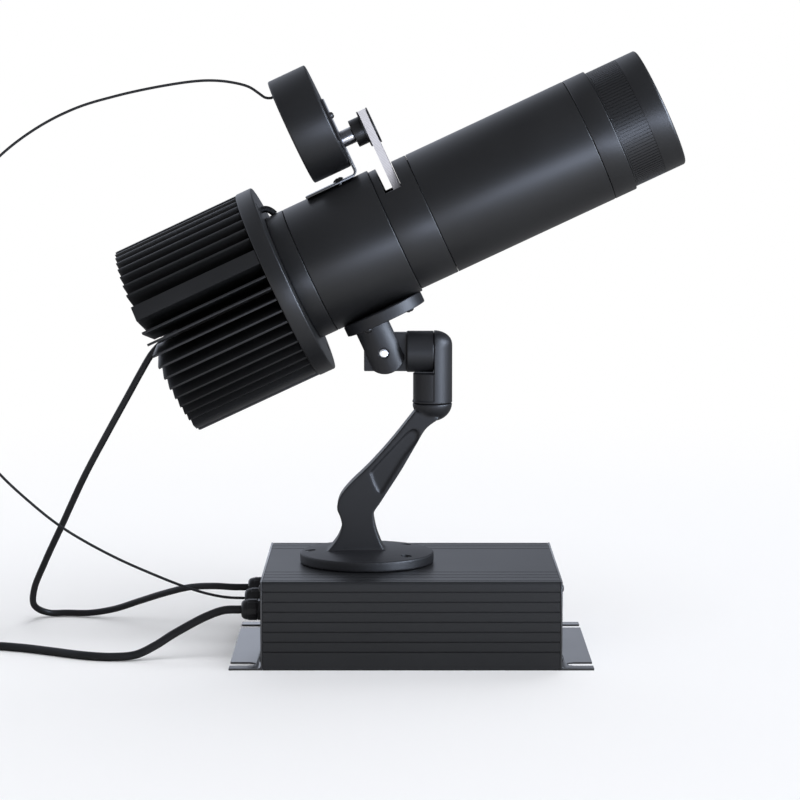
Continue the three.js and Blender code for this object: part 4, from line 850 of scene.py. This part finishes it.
# Elbow: an upright casting with a round shoulder that turns on the pan pin. One side is cut flat for the roll
# joint, and below the cut that side stands back by a fine step, as the two halves of its mould leave it.
shoulder_rise = 4.8
elbow_dome = 12.3
mould_step = 0.55
step_rise = 1.6
roll_face = pan_x + 1.3
roll_radius = 16.7
roll_height = 241.8
roll_seat = roll_height - roll_radius - 0.5
pan_pin_high = 218.7
roll_pin_left = 4.2
roll_pin_right = 28.8
elbow_base = pan_height + pan_seam / 2
elbow_top = roll_height + shoulder_rise
elbow_profile = [(elbow_base, 0.0), (elbow_base, elbow_radius), (elbow_top, elbow_radius)]
for angle in [math.radians(a) for a in range(6, 87, 6)]:
    elbow_profile.append(
        (elbow_top + elbow_dome * math.sin(angle) ** 0.9, elbow_radius * math.cos(angle) ** 0.9)
    )
elbow_profile.append((elbow_top + elbow_dome, 0.0))


def block(x, y, z):
    """A block between two x, two y and two z values."""
    return pressed(rectangle(x, y), z[0], z[1])


def within(mesh, other):
    """The part of a mesh that lies inside another."""
    return worked(mesh, boolean("INTERSECT", other))


roll_place = at(z=roll_height)
away = block((-10, roll_face), (-20, 20), (roll_seat, 270))
left_side = block((-10, roll_face), (-25, 25), (elbow_base, 270))
shell = rod(elbow_base + step_rise, roll_seat + 1, 20, pan_place, 96, bore=elbow_radius - mould_step)
pan_room = rod(190, pan_pin_high, pin_hole, pan_place)
roll_room = rod(10, roll_pin_right, pin_hole, roll_place)
cuts = [away, within(shell, left_side), pan_room, roll_room]
elbow = cast([turned(elbow_profile, pan_place)], cuts, grain=0.42, rounds=5)
shown("elbow_casting", elbow, coated, ["elbow"], "elbow", 50)
dressed("pan_pin", bright_steel)
dressed("roll_pin", bright_steel)

# Swivel: the lying cylinder of the roll joint and its flat tongue, cast as one and turned on its round part.
# A pin of the elbow goes into the cylinder, and the tilt bolt goes through the tongue.
pivot_x = pivot[0]
tongue_reach = 16
tongue_height = 15.3
tongue_thickness = 16
half_tongue = tongue_thickness / 2
spigot_radius = 15.2
roll_length = 21.5
roll_front = roll_face - gap
roll_end = roll_front - roll_length
spigot_front = roll_face - 0.04
bolt_hole = 3.3
roll_barrel = turned([
    (roll_end, 0.0), (roll_end, roll_radius), (roll_front, roll_radius), (roll_front, spigot_radius),
    (spigot_front, spigot_radius), (spigot_front, 0.0),
], roll_place)
tongue = block(
    (pivot_x - tongue_reach, roll_end + 1), (-half_tongue, half_tongue),
    (roll_height - tongue_height, roll_height + tongue_height),
)
pin_bore = rod(roll_pin_left, 25, pin_hole, roll_place)
bolt_bore = rod(-20, 20, bolt_hole, at(pivot_x, 0, roll_height) @ heading_y)
swivel = cast([roll_barrel, tongue], [pin_bore, bolt_bore], grain=0.5, rounds=5)
shown("swivel_casting", swivel, coated, ["swivel_block"], "swivel", 50)

# Head bracket: a cast round plate, scooped to the tube above it, and the forked knuckle of the tilt joint
# below, whose end is round about the bolt. The bolt and nut are zinc plated, and three round-headed screws go
# up through the plate.
rear_radius = 53
plate_x = 13
plate_radius = 34.1
plate_top = 32.6
plate_bottom = 23.1
knuckle_radius = 16.5
knuckle_end = 17.2
fork_top = plate_bottom - 0.8
half_fork = half_tongue + gap
fork_seat = 12.4
bolt_head_room = 3.9
nut_room = 4.9
nut_radius = 4.6
bracket_screws = [(33.2, 0), (-3, 22), (-3, -22)]
plate = rod(plate_bottom, plate_top, plate_radius, at(plate_x) @ upright, 96)
knuckle = rod(-knuckle_end - 1, plate_bottom + 1, knuckle_radius, upright, 96)
round_end = pressed(
    [*arc(0, 0, knuckle_end, 180, 360, 36), (knuckle_end, 30), (-knuckle_end, 30)], -20, 20, along_y
)
tube_room = rod(-60, 90, rear_radius + gap, at(z=axis_height), 128)
fork = block((-40, 50), (-half_fork, half_fork), (-20, fork_top))
bolt_room = turned([
    (-20, 0.0), (-20, bolt_head_room), (-fork_seat, bolt_head_room), (-fork_seat, bolt_hole),
    (fork_seat, bolt_hole), (fork_seat, nut_room), (20, nut_room), (20, 0.0),
], heading_y, 40)
bracket = cast([plate, within(knuckle, round_end)], [tube_room, fork, bolt_room], grain=0.55, rounds=4)
shown("bracket_casting", bracket, coated, ["head_bracket"], "head", 50, head)

polished_zinc = grained(
    "polished_zinc", 0.5, dark=(0.78, 0.79, 0.82), light=(0.9, 0.91, 0.93), dullness=0.12, spread=0.08,
    grain=(300, 3, (1, 6, 1)), tone=(300, 3, (1, 6, 1)), depth=0.000006, Metallic=1.0,
)
bolt_seat = fork_seat + gap
bolt_place = head @ at(y=-bolt_seat) @ Matrix.Rotation(-math.pi / 2, 4, "Z")
bolt = socket_screw(bolt_place, top=(3.6, 2.2), shank=(3, 27.4), socket=(1.5, 1.2))
shown("tilt_bolt_bright", bolt, polished_zinc, ["tilt_bolt"], "head")
nut_place = head @ heading_y @ along_x
nut = pressed(polygon(nut_radius), bolt_seat, bolt_seat + 3, nut_place, [polygon(bolt_hole, 24)], bevel=0.3)
shown("tilt_nut_bright", nut, polished_zinc, ["tilt_nut"], "head")
downwards = Matrix.Rotation(math.pi / 2, 4, "Y")
for i, (x, y) in enumerate(bracket_screws):
    node = f"bracket_screw_{i + 1}"
    place = head @ at(x, y, plate_bottom - gap) @ downwards
    screw = pan_head(place, top=(4, 3.1), shank=(2, 9))
    shown(node + "_black", screw, black_steel, [node], "head")

# Heatsink: a sunflower extrusion in black anodised aluminium, sawn square at both ends. Four broad bands
# stand between runs of ten thin fins on a small core. One node tree makes every ring of equal shapes.
fin_radius = 79.2
fin_length = 106.1
fin_rear = -161
fin_front = fin_rear + fin_length
fin_root, fin_tip = 1.1, 2.0
band_root, band_tip = 9.0, 12.4
core_radius = 22
core_recess = 20
core_rear = fin_rear + core_recess
cord_bore = 5
fins_in_run = 10
fin_pitch = 7.26
first_band = 157.5
bands = 4
beam = head @ at(z=axis_height)

ring_tree = bpy.data.node_groups.new("ring_array", "GeometryNodeTree")
ring_sockets = {}
for label, kind in (
    ("Base", "Geometry"), ("Part", "Object"), ("Copies", "Int"), ("Pitch", "Float"), ("First", "Float"),
    ("Runs", "Int"), ("Run pitch", "Float"), ("Look", "Material"),
):
    socket = ring_tree.interface.new_socket(label, in_out="INPUT", socket_type="NodeSocket" + kind)
    ring_sockets[label] = socket.identifier
ring_tree.interface.new_socket("Geometry", in_out="OUTPUT", socket_type="NodeSocketGeometry")
given_node = ring_tree.nodes.new("NodeGroupInput")
given = {label: Wire(ring_tree, given_node.outputs[label]) for label in ring_sockets}
index = put(ring_tree, "GeometryNodeInputIndex")
run = put(ring_tree, "ShaderNodeMath", {"operation": "FLOOR"}, {0: index / given["Copies"]})
angle = given["First"] + run * given["Run pitch"] + index % given["Copies"] * given["Pitch"]
turn_by = put(ring_tree, "ShaderNodeCombineXYZ", {}, {"X": angle * (math.pi / 180)})
turn_by = put(ring_tree, "FunctionNodeEulerToRotation", {}, {0: turn_by})
spots = put(ring_tree, "GeometryNodePoints", {}, {"Count": given["Copies"] * given["Runs"]})
part = put(ring_tree, "GeometryNodeObjectInfo", {}, {"Object": given["Part"]}, "Geometry")
copies = put(
    ring_tree, "GeometryNodeInstanceOnPoints", {}, {"Points": spots, "Instance": part, "Rotation": turn_by},
)
copies = put(ring_tree, "GeometryNodeRealizeInstances", {}, {"Geometry": copies})
copies = put(ring_tree, "GeometryNodeSetMaterial", {}, {"Geometry": copies, "Material": given["Look"]})
ring_tree.links.new(copies.socket, ring_tree.nodes.new("NodeGroupOutput").inputs[0])


def ringed(part, look, copies, pitch, first=0.0, runs=1, run_pitch=0.0):
    """Copies of a mesh turned about X: runs of copies, with the angles in degrees from +Y towards +Z."""
    source = bpy.data.objects.new("part", part)
    holder = added("ring", bpy.data.meshes.new("ring"))
    modifier = holder.modifiers.new("ring", "NODES")
    modifier.node_group = ring_tree
    values = {
        "Part": source, "Copies": copies, "Pitch": pitch, "First": first, "Runs": runs,
        "Run pitch": run_pitch, "Look": look,
    }
    for label, value in values.items():
        modifier[ring_sockets[label]] = value
    return result_of(holder, source)


def anodised_look(tree, place):
    """Black anodising on turned aluminium: fine rings from the tool, an etched grain and a change of tone."""
    rings = noise(tree, place, 30, 3, (60, 1, 1), (0, math.radians(head_tilt), 0))
    grain = noise(tree, place, 1500)
    tone = noise(tree, place, 16, 3)
    colour = shade(tree, tone, (0.0115, 0.0118, 0.0128), (0.0175, 0.018, 0.0198))
    return colour, 0.33 + tone * 0.1, grain * 0.6 + rings * 0.4, 0.000015


def fin_mesh(root_width, tip_width):
    """One fin, from the core outwards along Y, its tip slightly rounded."""
    root = core_radius - 0.8
    side = [(root, root_width / 2), (fin_radius, tip_width / 2)]
    outline = [(y, -z) for y, z in side] + side[::-1]
    return pressed(eased(outline, 0.5, 2), fin_rear, fin_front, along_x)


anodised = surface("anodised", 0.42, anodised_look)


def black_piece(name, mesh, node, body="head", smooth=35):
    """A black anodised piece, made along X and laid along the beam."""
    shown(name, mesh, anodised, [node], body, smooth, beam)


band_pitch = 360 / bands
first_fin = first_band + band_pitch / 2 - (fins_in_run - 1) / 2 * fin_pitch
fins = ringed(fin_mesh(fin_root, fin_tip), anodised, fins_in_run, fin_pitch, first_fin, bands, band_pitch)
broad = ringed(fin_mesh(band_root, band_tip), anodised, bands, band_pitch, first_band)
core = rod(core_rear, fin_front, core_radius, None, 96, 0.0, cord_bore)
heatsink = joined(fins, broad, core)
black_piece("heatsink_fins", heatsink, "heatsink", smooth=30)

# Rear grommet: a soft sleeve where the lamp cord goes into the core. Its flange lies on the floor of the
# core's recess, and its tapered tail holds the cord.
cord_radius = lamp_cord_thickness / 2
grommet_flange = 7.0
grommet_neck = 4.7
grommet = turned([
    (lamp_exit, 0.0), (lamp_exit, cord_radius + 0.5), (core_rear - 2.8, cord_radius + 1.2),
    (core_rear - 2.8, grommet_flange), (core_rear - gap, grommet_flange), (core_rear - gap, grommet_neck),
    (core_rear + 12, grommet_neck), (core_rear + 12, 0.0),
], None, 64, 0.5)
shown("grommet_moulding", grommet, jacket, ["rear_grommet"], "head", place=beam)

# Ring: a turned and anodised flange over the fins' front ends. Its front face is lathe-faced, and four
# sunk screws hold it to the fins.
ring_radius = 79.8
ring_bore = 46
ring_front = -40.9
ring_width = 13.7
ring_screw_circle = 69.5
ring_screw_first = 22.5
ring_sink_radius = 3.6
ring = rod(ring_front - ring_width, ring_front, ring_radius, None, 160, 1.2, ring_bore)
ring_sink = rod(ring_front - 3, ring_front + 2, ring_sink_radius, at(y=ring_screw_circle), 32)
ring = cut_by(ring, ringed(ring_sink, anodised, 4, 90, ring_screw_first))
black_piece("ring_turned", ring, "heatsink_ring")
screw_place = at(ring_front - 2.8, ring_screw_circle)
ring_screw = socket_screw(screw_place, top=(3.4, 2.4), shank=(1.5, 6), socket=(1.5, 1.3))
ring_screws = ringed(ring_screw, black_steel, 4, 90, ring_screw_first)
shown("ring_screws_black", ring_screws, black_steel, (), "head", place=beam)

# Lamp board: a white board with a domed emitter, behind the ring. It is only seen through the lenses, and its
# solid only gets its finish.
lamp_white = grained(
    "lamp_white", 0.5, dark=(0.62, 0.62, 0.6), light=(0.74, 0.74, 0.72), dullness=0.35, spread=0.1,
    grain=(300, 2), tone=(300, 2), depth=0.00001,
)
dressed("lamp_board", lamp_white)

# Collar and rear tube: turned tubes that screw together, with a fine chamfered seam between them. The rear
# tube holds the condenser lens against a rib.
rear_wall = 3.4
rear_bore = rear_radius - rear_wall
collar_start = -40.6
collar_end = -25.6
tube_start = -25.3
tube_end = 49.1
condenser_seat = -14
lens_rib = 3
condenser_rib = (condenser_seat - gap, condenser_seat - gap - lens_rib, 45.6)


def tube_mesh(start, end, radius, bore, rib=None):
    """A tube along X. A rib in its bore is given by its front, its rear and its own bore."""
    outline = [(start, bore), (start, radius), (end, radius), (end, bore)]
    if rib:
        front, rear, hole = rib
        outline += [(front, bore), (front, hole), (rear, hole), (rear, bore)]
    return turned(outline, None, 128, 0.7)


collar = tube_mesh(collar_start, collar_end, rear_radius, rear_radius - 2 * rear_wall)
black_piece("collar_turned", collar, "collar")
rear_tube = tube_mesh(tube_start, tube_end, rear_radius, rear_bore, condenser_rib)
black_piece("rear_tube_turned", rear_tube, "rear_tube")

# Lenses: three plano-convex lenses of coated optical glass, with ground rims and a trace of dust. The
# condenser is in the rear tube, and the objective's two are in the barrel and the sleeve.
objective_seat = 150
sleeve_seat = 268
lens_rim = 4
dome_steps = 16
glass = grained(
    "lens_glass", 0.6, dark=(0.93, 0.95, 0.96), light=(0.98, 0.98, 0.99), dullness=0.01, spread=0.03,
    grain=(400, 2), tone=(400, 2), depth=0.000002, Transmission_Weight=1.0, IOR=1.5,
)
for node, radius, start, bulge, body in (
    ("condenser_lens", 49.3, condenser_seat, 8, "head"), ("objective_rear", 48, objective_seat, 7, "head"),
    ("objective_front", 44.2, sleeve_seat, 7, "focus_cell"),
):
    front = start + lens_rim
    outline = [(start, 0.0), (start, radius)]
    for k in range(dome_steps, -1, -1):
        outline.append((front + bulge * (1 - (k / dome_steps) ** 2), radius * k / dome_steps))
    shown(node + "_ground", turned(outline), glass, [node], body, place=beam)

# Gobo section: a short tube with a slot sawn in its top, where the belt goes in to turn the gobo wheel. A web
# inside holds the wheel's bearing.
front_radius = 51.3
front_bore = 48.3
gobo_start = 49.4
gobo_end = 81.8
slot_start = 55.5
slot_end = 69.6
slot_floor = 31.2
bearing_web = (78.1, 72.1, 27.8)
section = tube_mesh(gobo_start, gobo_end, front_radius, front_bore, bearing_web)
section = cut_by(section, block((slot_start, slot_end), (-60, 60), (slot_floor, 60)))
black_piece("gobo_section_turned", section, "gobo_section")
dressed("gobo_bearing", bright_steel)
dressed("gobo_wheel", anodised)
dressed("gobo_glass", glass)

# Belt drive: a white timing belt runs from the small pulley on the motor's shaft down into the slot. Its
# teeth point inwards, and its back has a fine woven hatch.
tooth_pitch = 5.482
pulley_teeth = 16
wheel_teeth = 32
belt_teeth = 55
shaft_rise = 83.8055
belt_middle = 65.5
belt_width = 6.2
half_belt = belt_width / 2
pitch_inset = 0.25
tooth_height = 1.3
belt_back = 1.1
pulley_pitch_radius = pulley_teeth * tooth_pitch / (2 * math.pi)
wheel_pitch_radius = wheel_teeth * tooth_pitch / (2 * math.pi)
lean = math.asin((wheel_pitch_radius - pulley_pitch_radius) / shaft_rise)
straight_run = shaft_rise * math.cos(lean)
top_arc = pulley_pitch_radius * (math.pi / 2 - lean)
loop_length = belt_teeth * tooth_pitch
back_steps = 240


def belt_point(length, outside):
    """The [y, z] point at a length along the loop, counted from its top, and a way outside its pitch line."""
    length %= loop_length
    side = 1 if length <= loop_length / 2 else -1
    along = min(length, loop_length - length)
    if along < top_arc:
        angle = math.pi / 2 - along / pulley_pitch_radius
        radius = pulley_pitch_radius + outside
        return side * radius * math.cos(angle), shaft_rise + radius * math.sin(angle)
    angle = lean - max(0, along - top_arc - straight_run) / wheel_pitch_radius
    radius = wheel_pitch_radius + outside
    rise = max(0, top_arc + straight_run - along)
    return (
        side * (radius * math.cos(angle) - rise * math.sin(lean)),
        radius * math.sin(angle) + rise * math.cos(lean),
    )


def belt_look(tree, place):
    """White plastic over fine cords: a close diagonal hatch and faint grey wear."""
    hatch = put(tree, "ShaderNodeTexWave", {"bands_direction": "DIAGONAL"}, {"Vector": place, "Scale": 260})
    wear = noise(tree, place, 80, 3)
    colour = shade(tree, hatch * 0.5 + wear * 0.5, (0.62, 0.62, 0.70), (0.82, 0.82, 0.88))
    return colour, 0.5 + wear * 0.1, hatch, 0.00003


tooth_sides = []
for i in range(belt_teeth):
    for share, depth in ((-0.27, 0), (-0.18, 1), (0, 1.04), (0.18, 1), (0.27, 0), (0.5, 0)):
        tooth_sides.append(belt_point((i + share) * tooth_pitch, -pitch_inset - depth * tooth_height))
back = [belt_point(loop_length * k / back_steps, belt_back - pitch_inset) for k in range(back_steps)]
belt = pressed(back, belt_middle - half_belt, belt_middle + half_belt, beam @ along_x, [tooth_sides])
belt_white = surface("belt_white", 0.4, belt_look)
shown("belt_moulded", belt, belt_white, ["drive_belt"], "head")

# Pulley and shaft: the motor's bright shaft carries the toothed pulley, with its hub behind and a thin flange
# at each side of the belt.
track_rear = belt_middle - half_belt - gap
track_front = belt_middle + half_belt + gap
side_flange = 1.2
pulley_flange = 15.1
hub_radius = 11.3
hub_rear = 51.9
hub_front = track_rear - 2 * gap
shaft_radius = 6.7
shaft_tip = 3
shaft_rear = 37.6
shaft_step = hub_rear - gap
shaft_front = track_front + side_flange - gap
pulley_bore = shaft_tip + gap
tooth_tip = pulley_pitch_radius - pitch_inset - gap
tooth_floor = tooth_tip - tooth_height - gap
drive = beam @ at(z=shaft_rise)
tooth_line = []
tooth_corners = ((tooth_tip, -0.325), (tooth_floor, -0.235), (tooth_floor, 0.235), (tooth_tip, 0.325))
for i in range(pulley_teeth):
    for radius, share in tooth_corners:
        angle = math.pi / 2 + (i + share) / pulley_teeth * 2 * math.pi
        tooth_line.append((radius * math.cos(angle), radius * math.sin(angle)))
track = pressed(tooth_line, track_rear - 0.5, track_front + 0.5, drive @ along_x)
flanges = [
    rod(start, start + side_flange, pulley_flange, drive, 96, 0.25, pulley_bore)
    for start in (track_rear - side_flange, track_front)
]
hub = rod(hub_rear, hub_front, hub_radius, drive, 96, 0.5, pulley_bore)
shown("pulley_black", joined(track, *flanges, hub), black_steel, ["drive_pulley"], "drive")
shaft = turned([
    (shaft_rear, 0.0), (shaft_rear, shaft_radius), (shaft_step, shaft_radius), (shaft_step, shaft_tip),
    (shaft_front, shaft_tip), (shaft_front, 0.0),
], drive, 64, 0.3)
shown("shaft_bright", shaft, bright_steel, ["motor_shaft"], "drive")

# Motor: a flat drum with a drawn steel can, painted satin black with slight dull patches. The shaft stands in
# a well in its front.
motor_radius = 44.3
motor_front = 39.6
motor_rise = shaft_rise + 22.1
motor_edge = 1.6
can_paint = grained(
    "can_paint", 0.36, dark=(0.0105, 0.0108, 0.012), light=(0.0165, 0.017, 0.019), dullness=0.36,
    spread=0.12, grain=(1300, 3), tone=(25, 3), depth=0.00002,
)
can = rod(motor_rear, motor_front, motor_radius, at(z=motor_rise), 144, motor_edge)
can = cut_by(can, rod(shaft_rear - gap, motor_front + 1, shaft_radius + gap, at(z=shaft_rise), 64))
shown("motor_can", can, can_paint, ["motor_case"], "head", place=beam)

# Motor bracket: a strip of steel sheet bent to an L. The foot lies on the rear tube under two round-headed
# screws, and the leg stands before the drum with two small screws.
leg_x = 39.9
strip = 1.8
leg_top = shaft_rise + 35.8
leg_hole = 8.5
half_strip = 18
foot_rear = -3.7
bend = 3
foot_low = rear_radius + gap
foot_high = foot_low + strip
foot_screws = [(25.1, 9), (25.1, -9)]
motor_screw_y = 13
motor_screw_rise = 105
strip_outline = [
    (foot_rear, foot_low), *arc(leg_x - bend, foot_high + bend, bend + strip, -90, 0, 10),
    (leg_x + strip, leg_top), (leg_x, leg_top), *arc(leg_x - bend, foot_high + bend, bend, 0, -90, 10),
    (foot_rear, foot_high),
]
bracket_strip = cut_by(
    pressed(strip_outline, -half_strip, half_strip, along_y, bevel=0.25),
    rod(leg_x - 2, leg_x + 4, leg_hole, at(z=shaft_rise), 64),
    *[rod(foot_low - 2, foot_high + 2, screw_hole, at(x, y) @ upright, 32) for x, y in foot_screws],
)
shown("motor_strip", bracket_strip, plate_skin, ["motor_bracket"], "head", place=beam)
for i, (x, y) in enumerate(foot_screws):
    node = f"foot_screw_{i + 1}"
    place = beam @ at(x, y, foot_high + gap) @ upright
    screw = pan_head(place, top=(4.2, 2.3), shank=(2, 9))
    shown(node + "_bright", screw, black_steel, [node], "head")
for side, name in ((-1, "motor_screw_near"), (1, "motor_screw_far")):
    place = beam @ at(leg_x + strip, side * motor_screw_y, motor_screw_rise)
    screw = pan_head(place, top=(2.8, 2.2), shank=(1.2, 1.5))
    shown(name, screw, black_steel, (), "head")

# Barrel, step ring and focus ring: turned tubes. The focus ring has a band of fine straight knurling, and the
# sleeve with the front lens slides in it.
barrel_start = 82.1
barrel_end = 220.0
barrel_rib = (objective_seat - gap, objective_seat - gap - lens_rib, 44)
step_start = 220.3
step_end = 238.8
focus_bore = 46.2
focus_start = 239.1
focus_end = 282.8
focus_radius = 49.4
focus_edge = 2.2
knurl_start = 240.3
knurl_end = 264.9
knurl_sink = 0.45
ridges = 114
cell_radius = 45.9
cell_bore = 43.7
cell_seat = 44.5
cell_rear = 217.1
cell_front = 272.3
barrel = tube_mesh(barrel_start, barrel_end, front_radius, front_bore, barrel_rib)
black_piece("barrel_turned", barrel, "barrel")
step = tube_mesh(step_start, step_end, front_radius, focus_bore)
black_piece("step_turned", step, "step_ring")
knurl_floor = focus_radius - knurl_sink
focus_body = turned([
    (focus_start, focus_bore), (focus_start, focus_radius), (knurl_start, focus_radius),
    (knurl_start, knurl_floor), (knurl_end, knurl_floor), (knurl_end, focus_radius),
    *arc(focus_end - focus_edge, focus_radius - focus_edge, focus_edge, 90, 0, 6), (focus_end, focus_bore),
], None, 144, 0.3)
ridge_side = [(focus_radius - 0.9, 1.2), (focus_radius - 0.04, 0.98)]
ridge_outline = [(y, -z) for y, z in ridge_side] + [(focus_radius - 0.01, 0)] + ridge_side[::-1]
ridge = pressed(ridge_outline, knurl_start + 0.2, knurl_end - 0.2, along_x)
focus = joined(focus_body, ringed(ridge, anodised, ridges, 360 / ridges))
black_piece("focus_knurled", focus, "focus_ring", "focus_ring", 30)
lens_stop = sleeve_seat - gap
sleeve = turned([
    (cell_rear, cell_bore), (cell_rear, cell_radius), (cell_front, cell_radius), (cell_front, cell_seat),
    (lens_stop, cell_seat), (lens_stop, cell_bore),
], None, 128, 0.2)
black_piece("sleeve_turned", sleeve, "focus_sleeve", "focus_cell")

# Wire loop: a short black lead over the step from the ring to the collar. It starts close to the ring's face
# and bends down into the collar.
loop_thickness = 5.4
loop_route = [(0.2, 7.2), (2.2, 7.0), (4.5, 5.8), (6.5, 3.6), (7.8, 1.2), (8.4, -0.4)]
loop_points = turned_into([(ring_front + x, 0, rear_radius + z) for x, z in loop_route], beam)
loop_mesh = cord_mesh(stretch_of(smooth_line(loop_points), step=0.8), loop_thickness)
shown("loop_jacket", loop_mesh, jacket, ["wire_loop"], "head")

# Floor: pale and matt, fading to white away from the part. Shiny surfaces see it darker towards its back: a
# painted shade in its reflection, which keeps the tubes' undersides black.
floor_mesh = bpy.data.meshes.new("floor")
floor_mesh.from_pydata([(-9, -9, 0), (9, -9, 0), (9, 9, 0), (-9, 9, 0)], [], [(0, 1, 2, 3)])
floor_look = bpy.data.materials.new("floor")
floor_look.use_nodes = True
floor_tree = floor_look.node_tree
floor_shader = floor_tree.nodes["Principled BSDF"]
floor_shader.inputs["Roughness"].default_value = 0.9
floor_shader.inputs["Specular IOR Level"].default_value = 0.1


def ramp(tree, value, start, end, low=0.0, high=1.0):
    """A value turned smoothly from low at its start to high at its end."""
    sockets = {"Value": value, "From Min": start, "From Max": end, "To Min": low, "To Max": high}
    return put(tree, "ShaderNodeMapRange", {"interpolation_type": "SMOOTHSTEP"}, sockets)


floor_place = put(floor_tree, "ShaderNodeTexCoord", output=3)
floor_y = put(floor_tree, "ShaderNodeSeparateXYZ", {}, {0: floor_place}, "Y")
in_gloss = put(floor_tree, "ShaderNodeLightPath", output="Is Glossy Ray")
# Painted shade: in reflections only, the floor's colour and glow darken towards its back.
painted_shade_behind = in_gloss * ramp(floor_tree, floor_y, start=-0.7, end=0.2, high=0.7)
floor_colour = shade(floor_tree, painted_shade_behind, (0.88, 0.89, 0.92), (0.0, 0.0, 0.0))
floor_tree.links.new(floor_colour.socket, floor_shader.inputs["Base Color"])
away_from_part = put(floor_tree, "ShaderNodeVectorMath", {"operation": "LENGTH"}, {0: floor_place}, "Value")
fade = ramp(floor_tree, away_from_part, start=0.42, end=1.7)
white = put(floor_tree, "ShaderNodeEmission", {}, {"Color": (1, 1, 1, 1), "Strength": 1 - painted_shade_behind})
floor_mix = put(
    floor_tree, "ShaderNodeMixShader", {}, {0: fade, 1: Wire(floor_tree, floor_shader.outputs[0]), 2: white}
)
floor_tree.links.new(floor_mix.socket, floor_tree.nodes["Material Output"].inputs["Surface"])
floor_mesh.materials.append(floor_look)
added("floor", floor_mesh)

# Room: white to the camera and through glass, and a soft grey as light. Shiny surfaces see it dark and a
# little blue, but for one pale wall behind and to the left.
wall_way = (-0.8, 0.6, 0.0)
soft_level = 0.36
red_loss = 0.2
green_loss = 0.14
world = bpy.data.worlds.new("room")
bpy.context.scene.world = world
world.use_nodes = True
room = world.node_tree
paths = room.nodes.new("ShaderNodeLightPath")
camera_ray, glossy_ray, through_ray = (
    Wire(room, paths.outputs[kind]) for kind in ("Is Camera Ray", "Is Glossy Ray", "Is Transmission Ray")
)
facing_wall = put(
    room, "ShaderNodeVectorMath", {"operation": "DOT_PRODUCT"},
    {0: put(room, "ShaderNodeTexCoord"), 1: wall_way}, "Value",
)
wall = ramp(room, facing_wall, start=0.3, end=0.8, low=0.15, high=1.12)
seen = camera_ray.reckon("MAXIMUM", camera_ray, through_ray)
soft = soft_level + seen * (1 - soft_level)
level = soft + glossy_ray * (wall - soft)
red, green = (level - glossy_ray * level * loss for loss in (red_loss, green_loss))
room_colour = put(room, "ShaderNodeCombineColor", {}, {0: red, 1: green, 2: level})
room.links.new(room_colour.socket, room.nodes["Background"].inputs["Color"])
room.nodes["Background"].inputs["Strength"].default_value = 1.0


# Lights: three cold cards, placed in metres, show only in shiny surfaces. Two broad suns, from the front and
# from behind, light the floor and the part and draw no highlight.
def lamp(kind, name, way, **settings):
    """A light that shines one way and is no part of the object."""
    data = bpy.data.lights.new(name, kind)
    for key, value in settings.items():
        setattr(data, key, value)
    made = added(name, data)
    made.rotation_euler = Vector(way).to_track_quat("-Z", "Y").to_euler()
    return made


for name, place, aim, (width, height), power, colour in (
    ("floor_card", (1.1, -2.2, 0.02), (1.1, -2.2, 1.0), (2.1, 2.3), 150, (0.66, 0.76, 1.0)),
    ("side_card", (1.35, -0.45, 0.86), (0, 0, 0.3), (0.9, 0.66), 52, (0.72, 0.82, 1.0)),
    ("low_card", (1.75, -1.35, 0.12), (0, 0, 0.24), (1.0, 0.5), 50, (0.72, 0.82, 1.0)),
):
    card = lamp(
        "AREA", name, Vector(aim) - Vector(place), shape="RECTANGLE", size=width, size_y=height,
        energy=power, color=colour,
    )
    card.location = place
    card.visible_camera = False
    card.visible_diffuse = False
for name, way, power, spread in (
    ("front_light", (-0.35, 0.5, -1.0), 2.05, 60), ("back_light", (-0.2, -0.8, -0.75), 0.85, 55),
):
    sun = lamp("SUN", name, way, energy=power, angle=math.radians(spread))
    sun.visible_glossy = False
bpy.context.scene.view_settings.view_transform = "Standard"
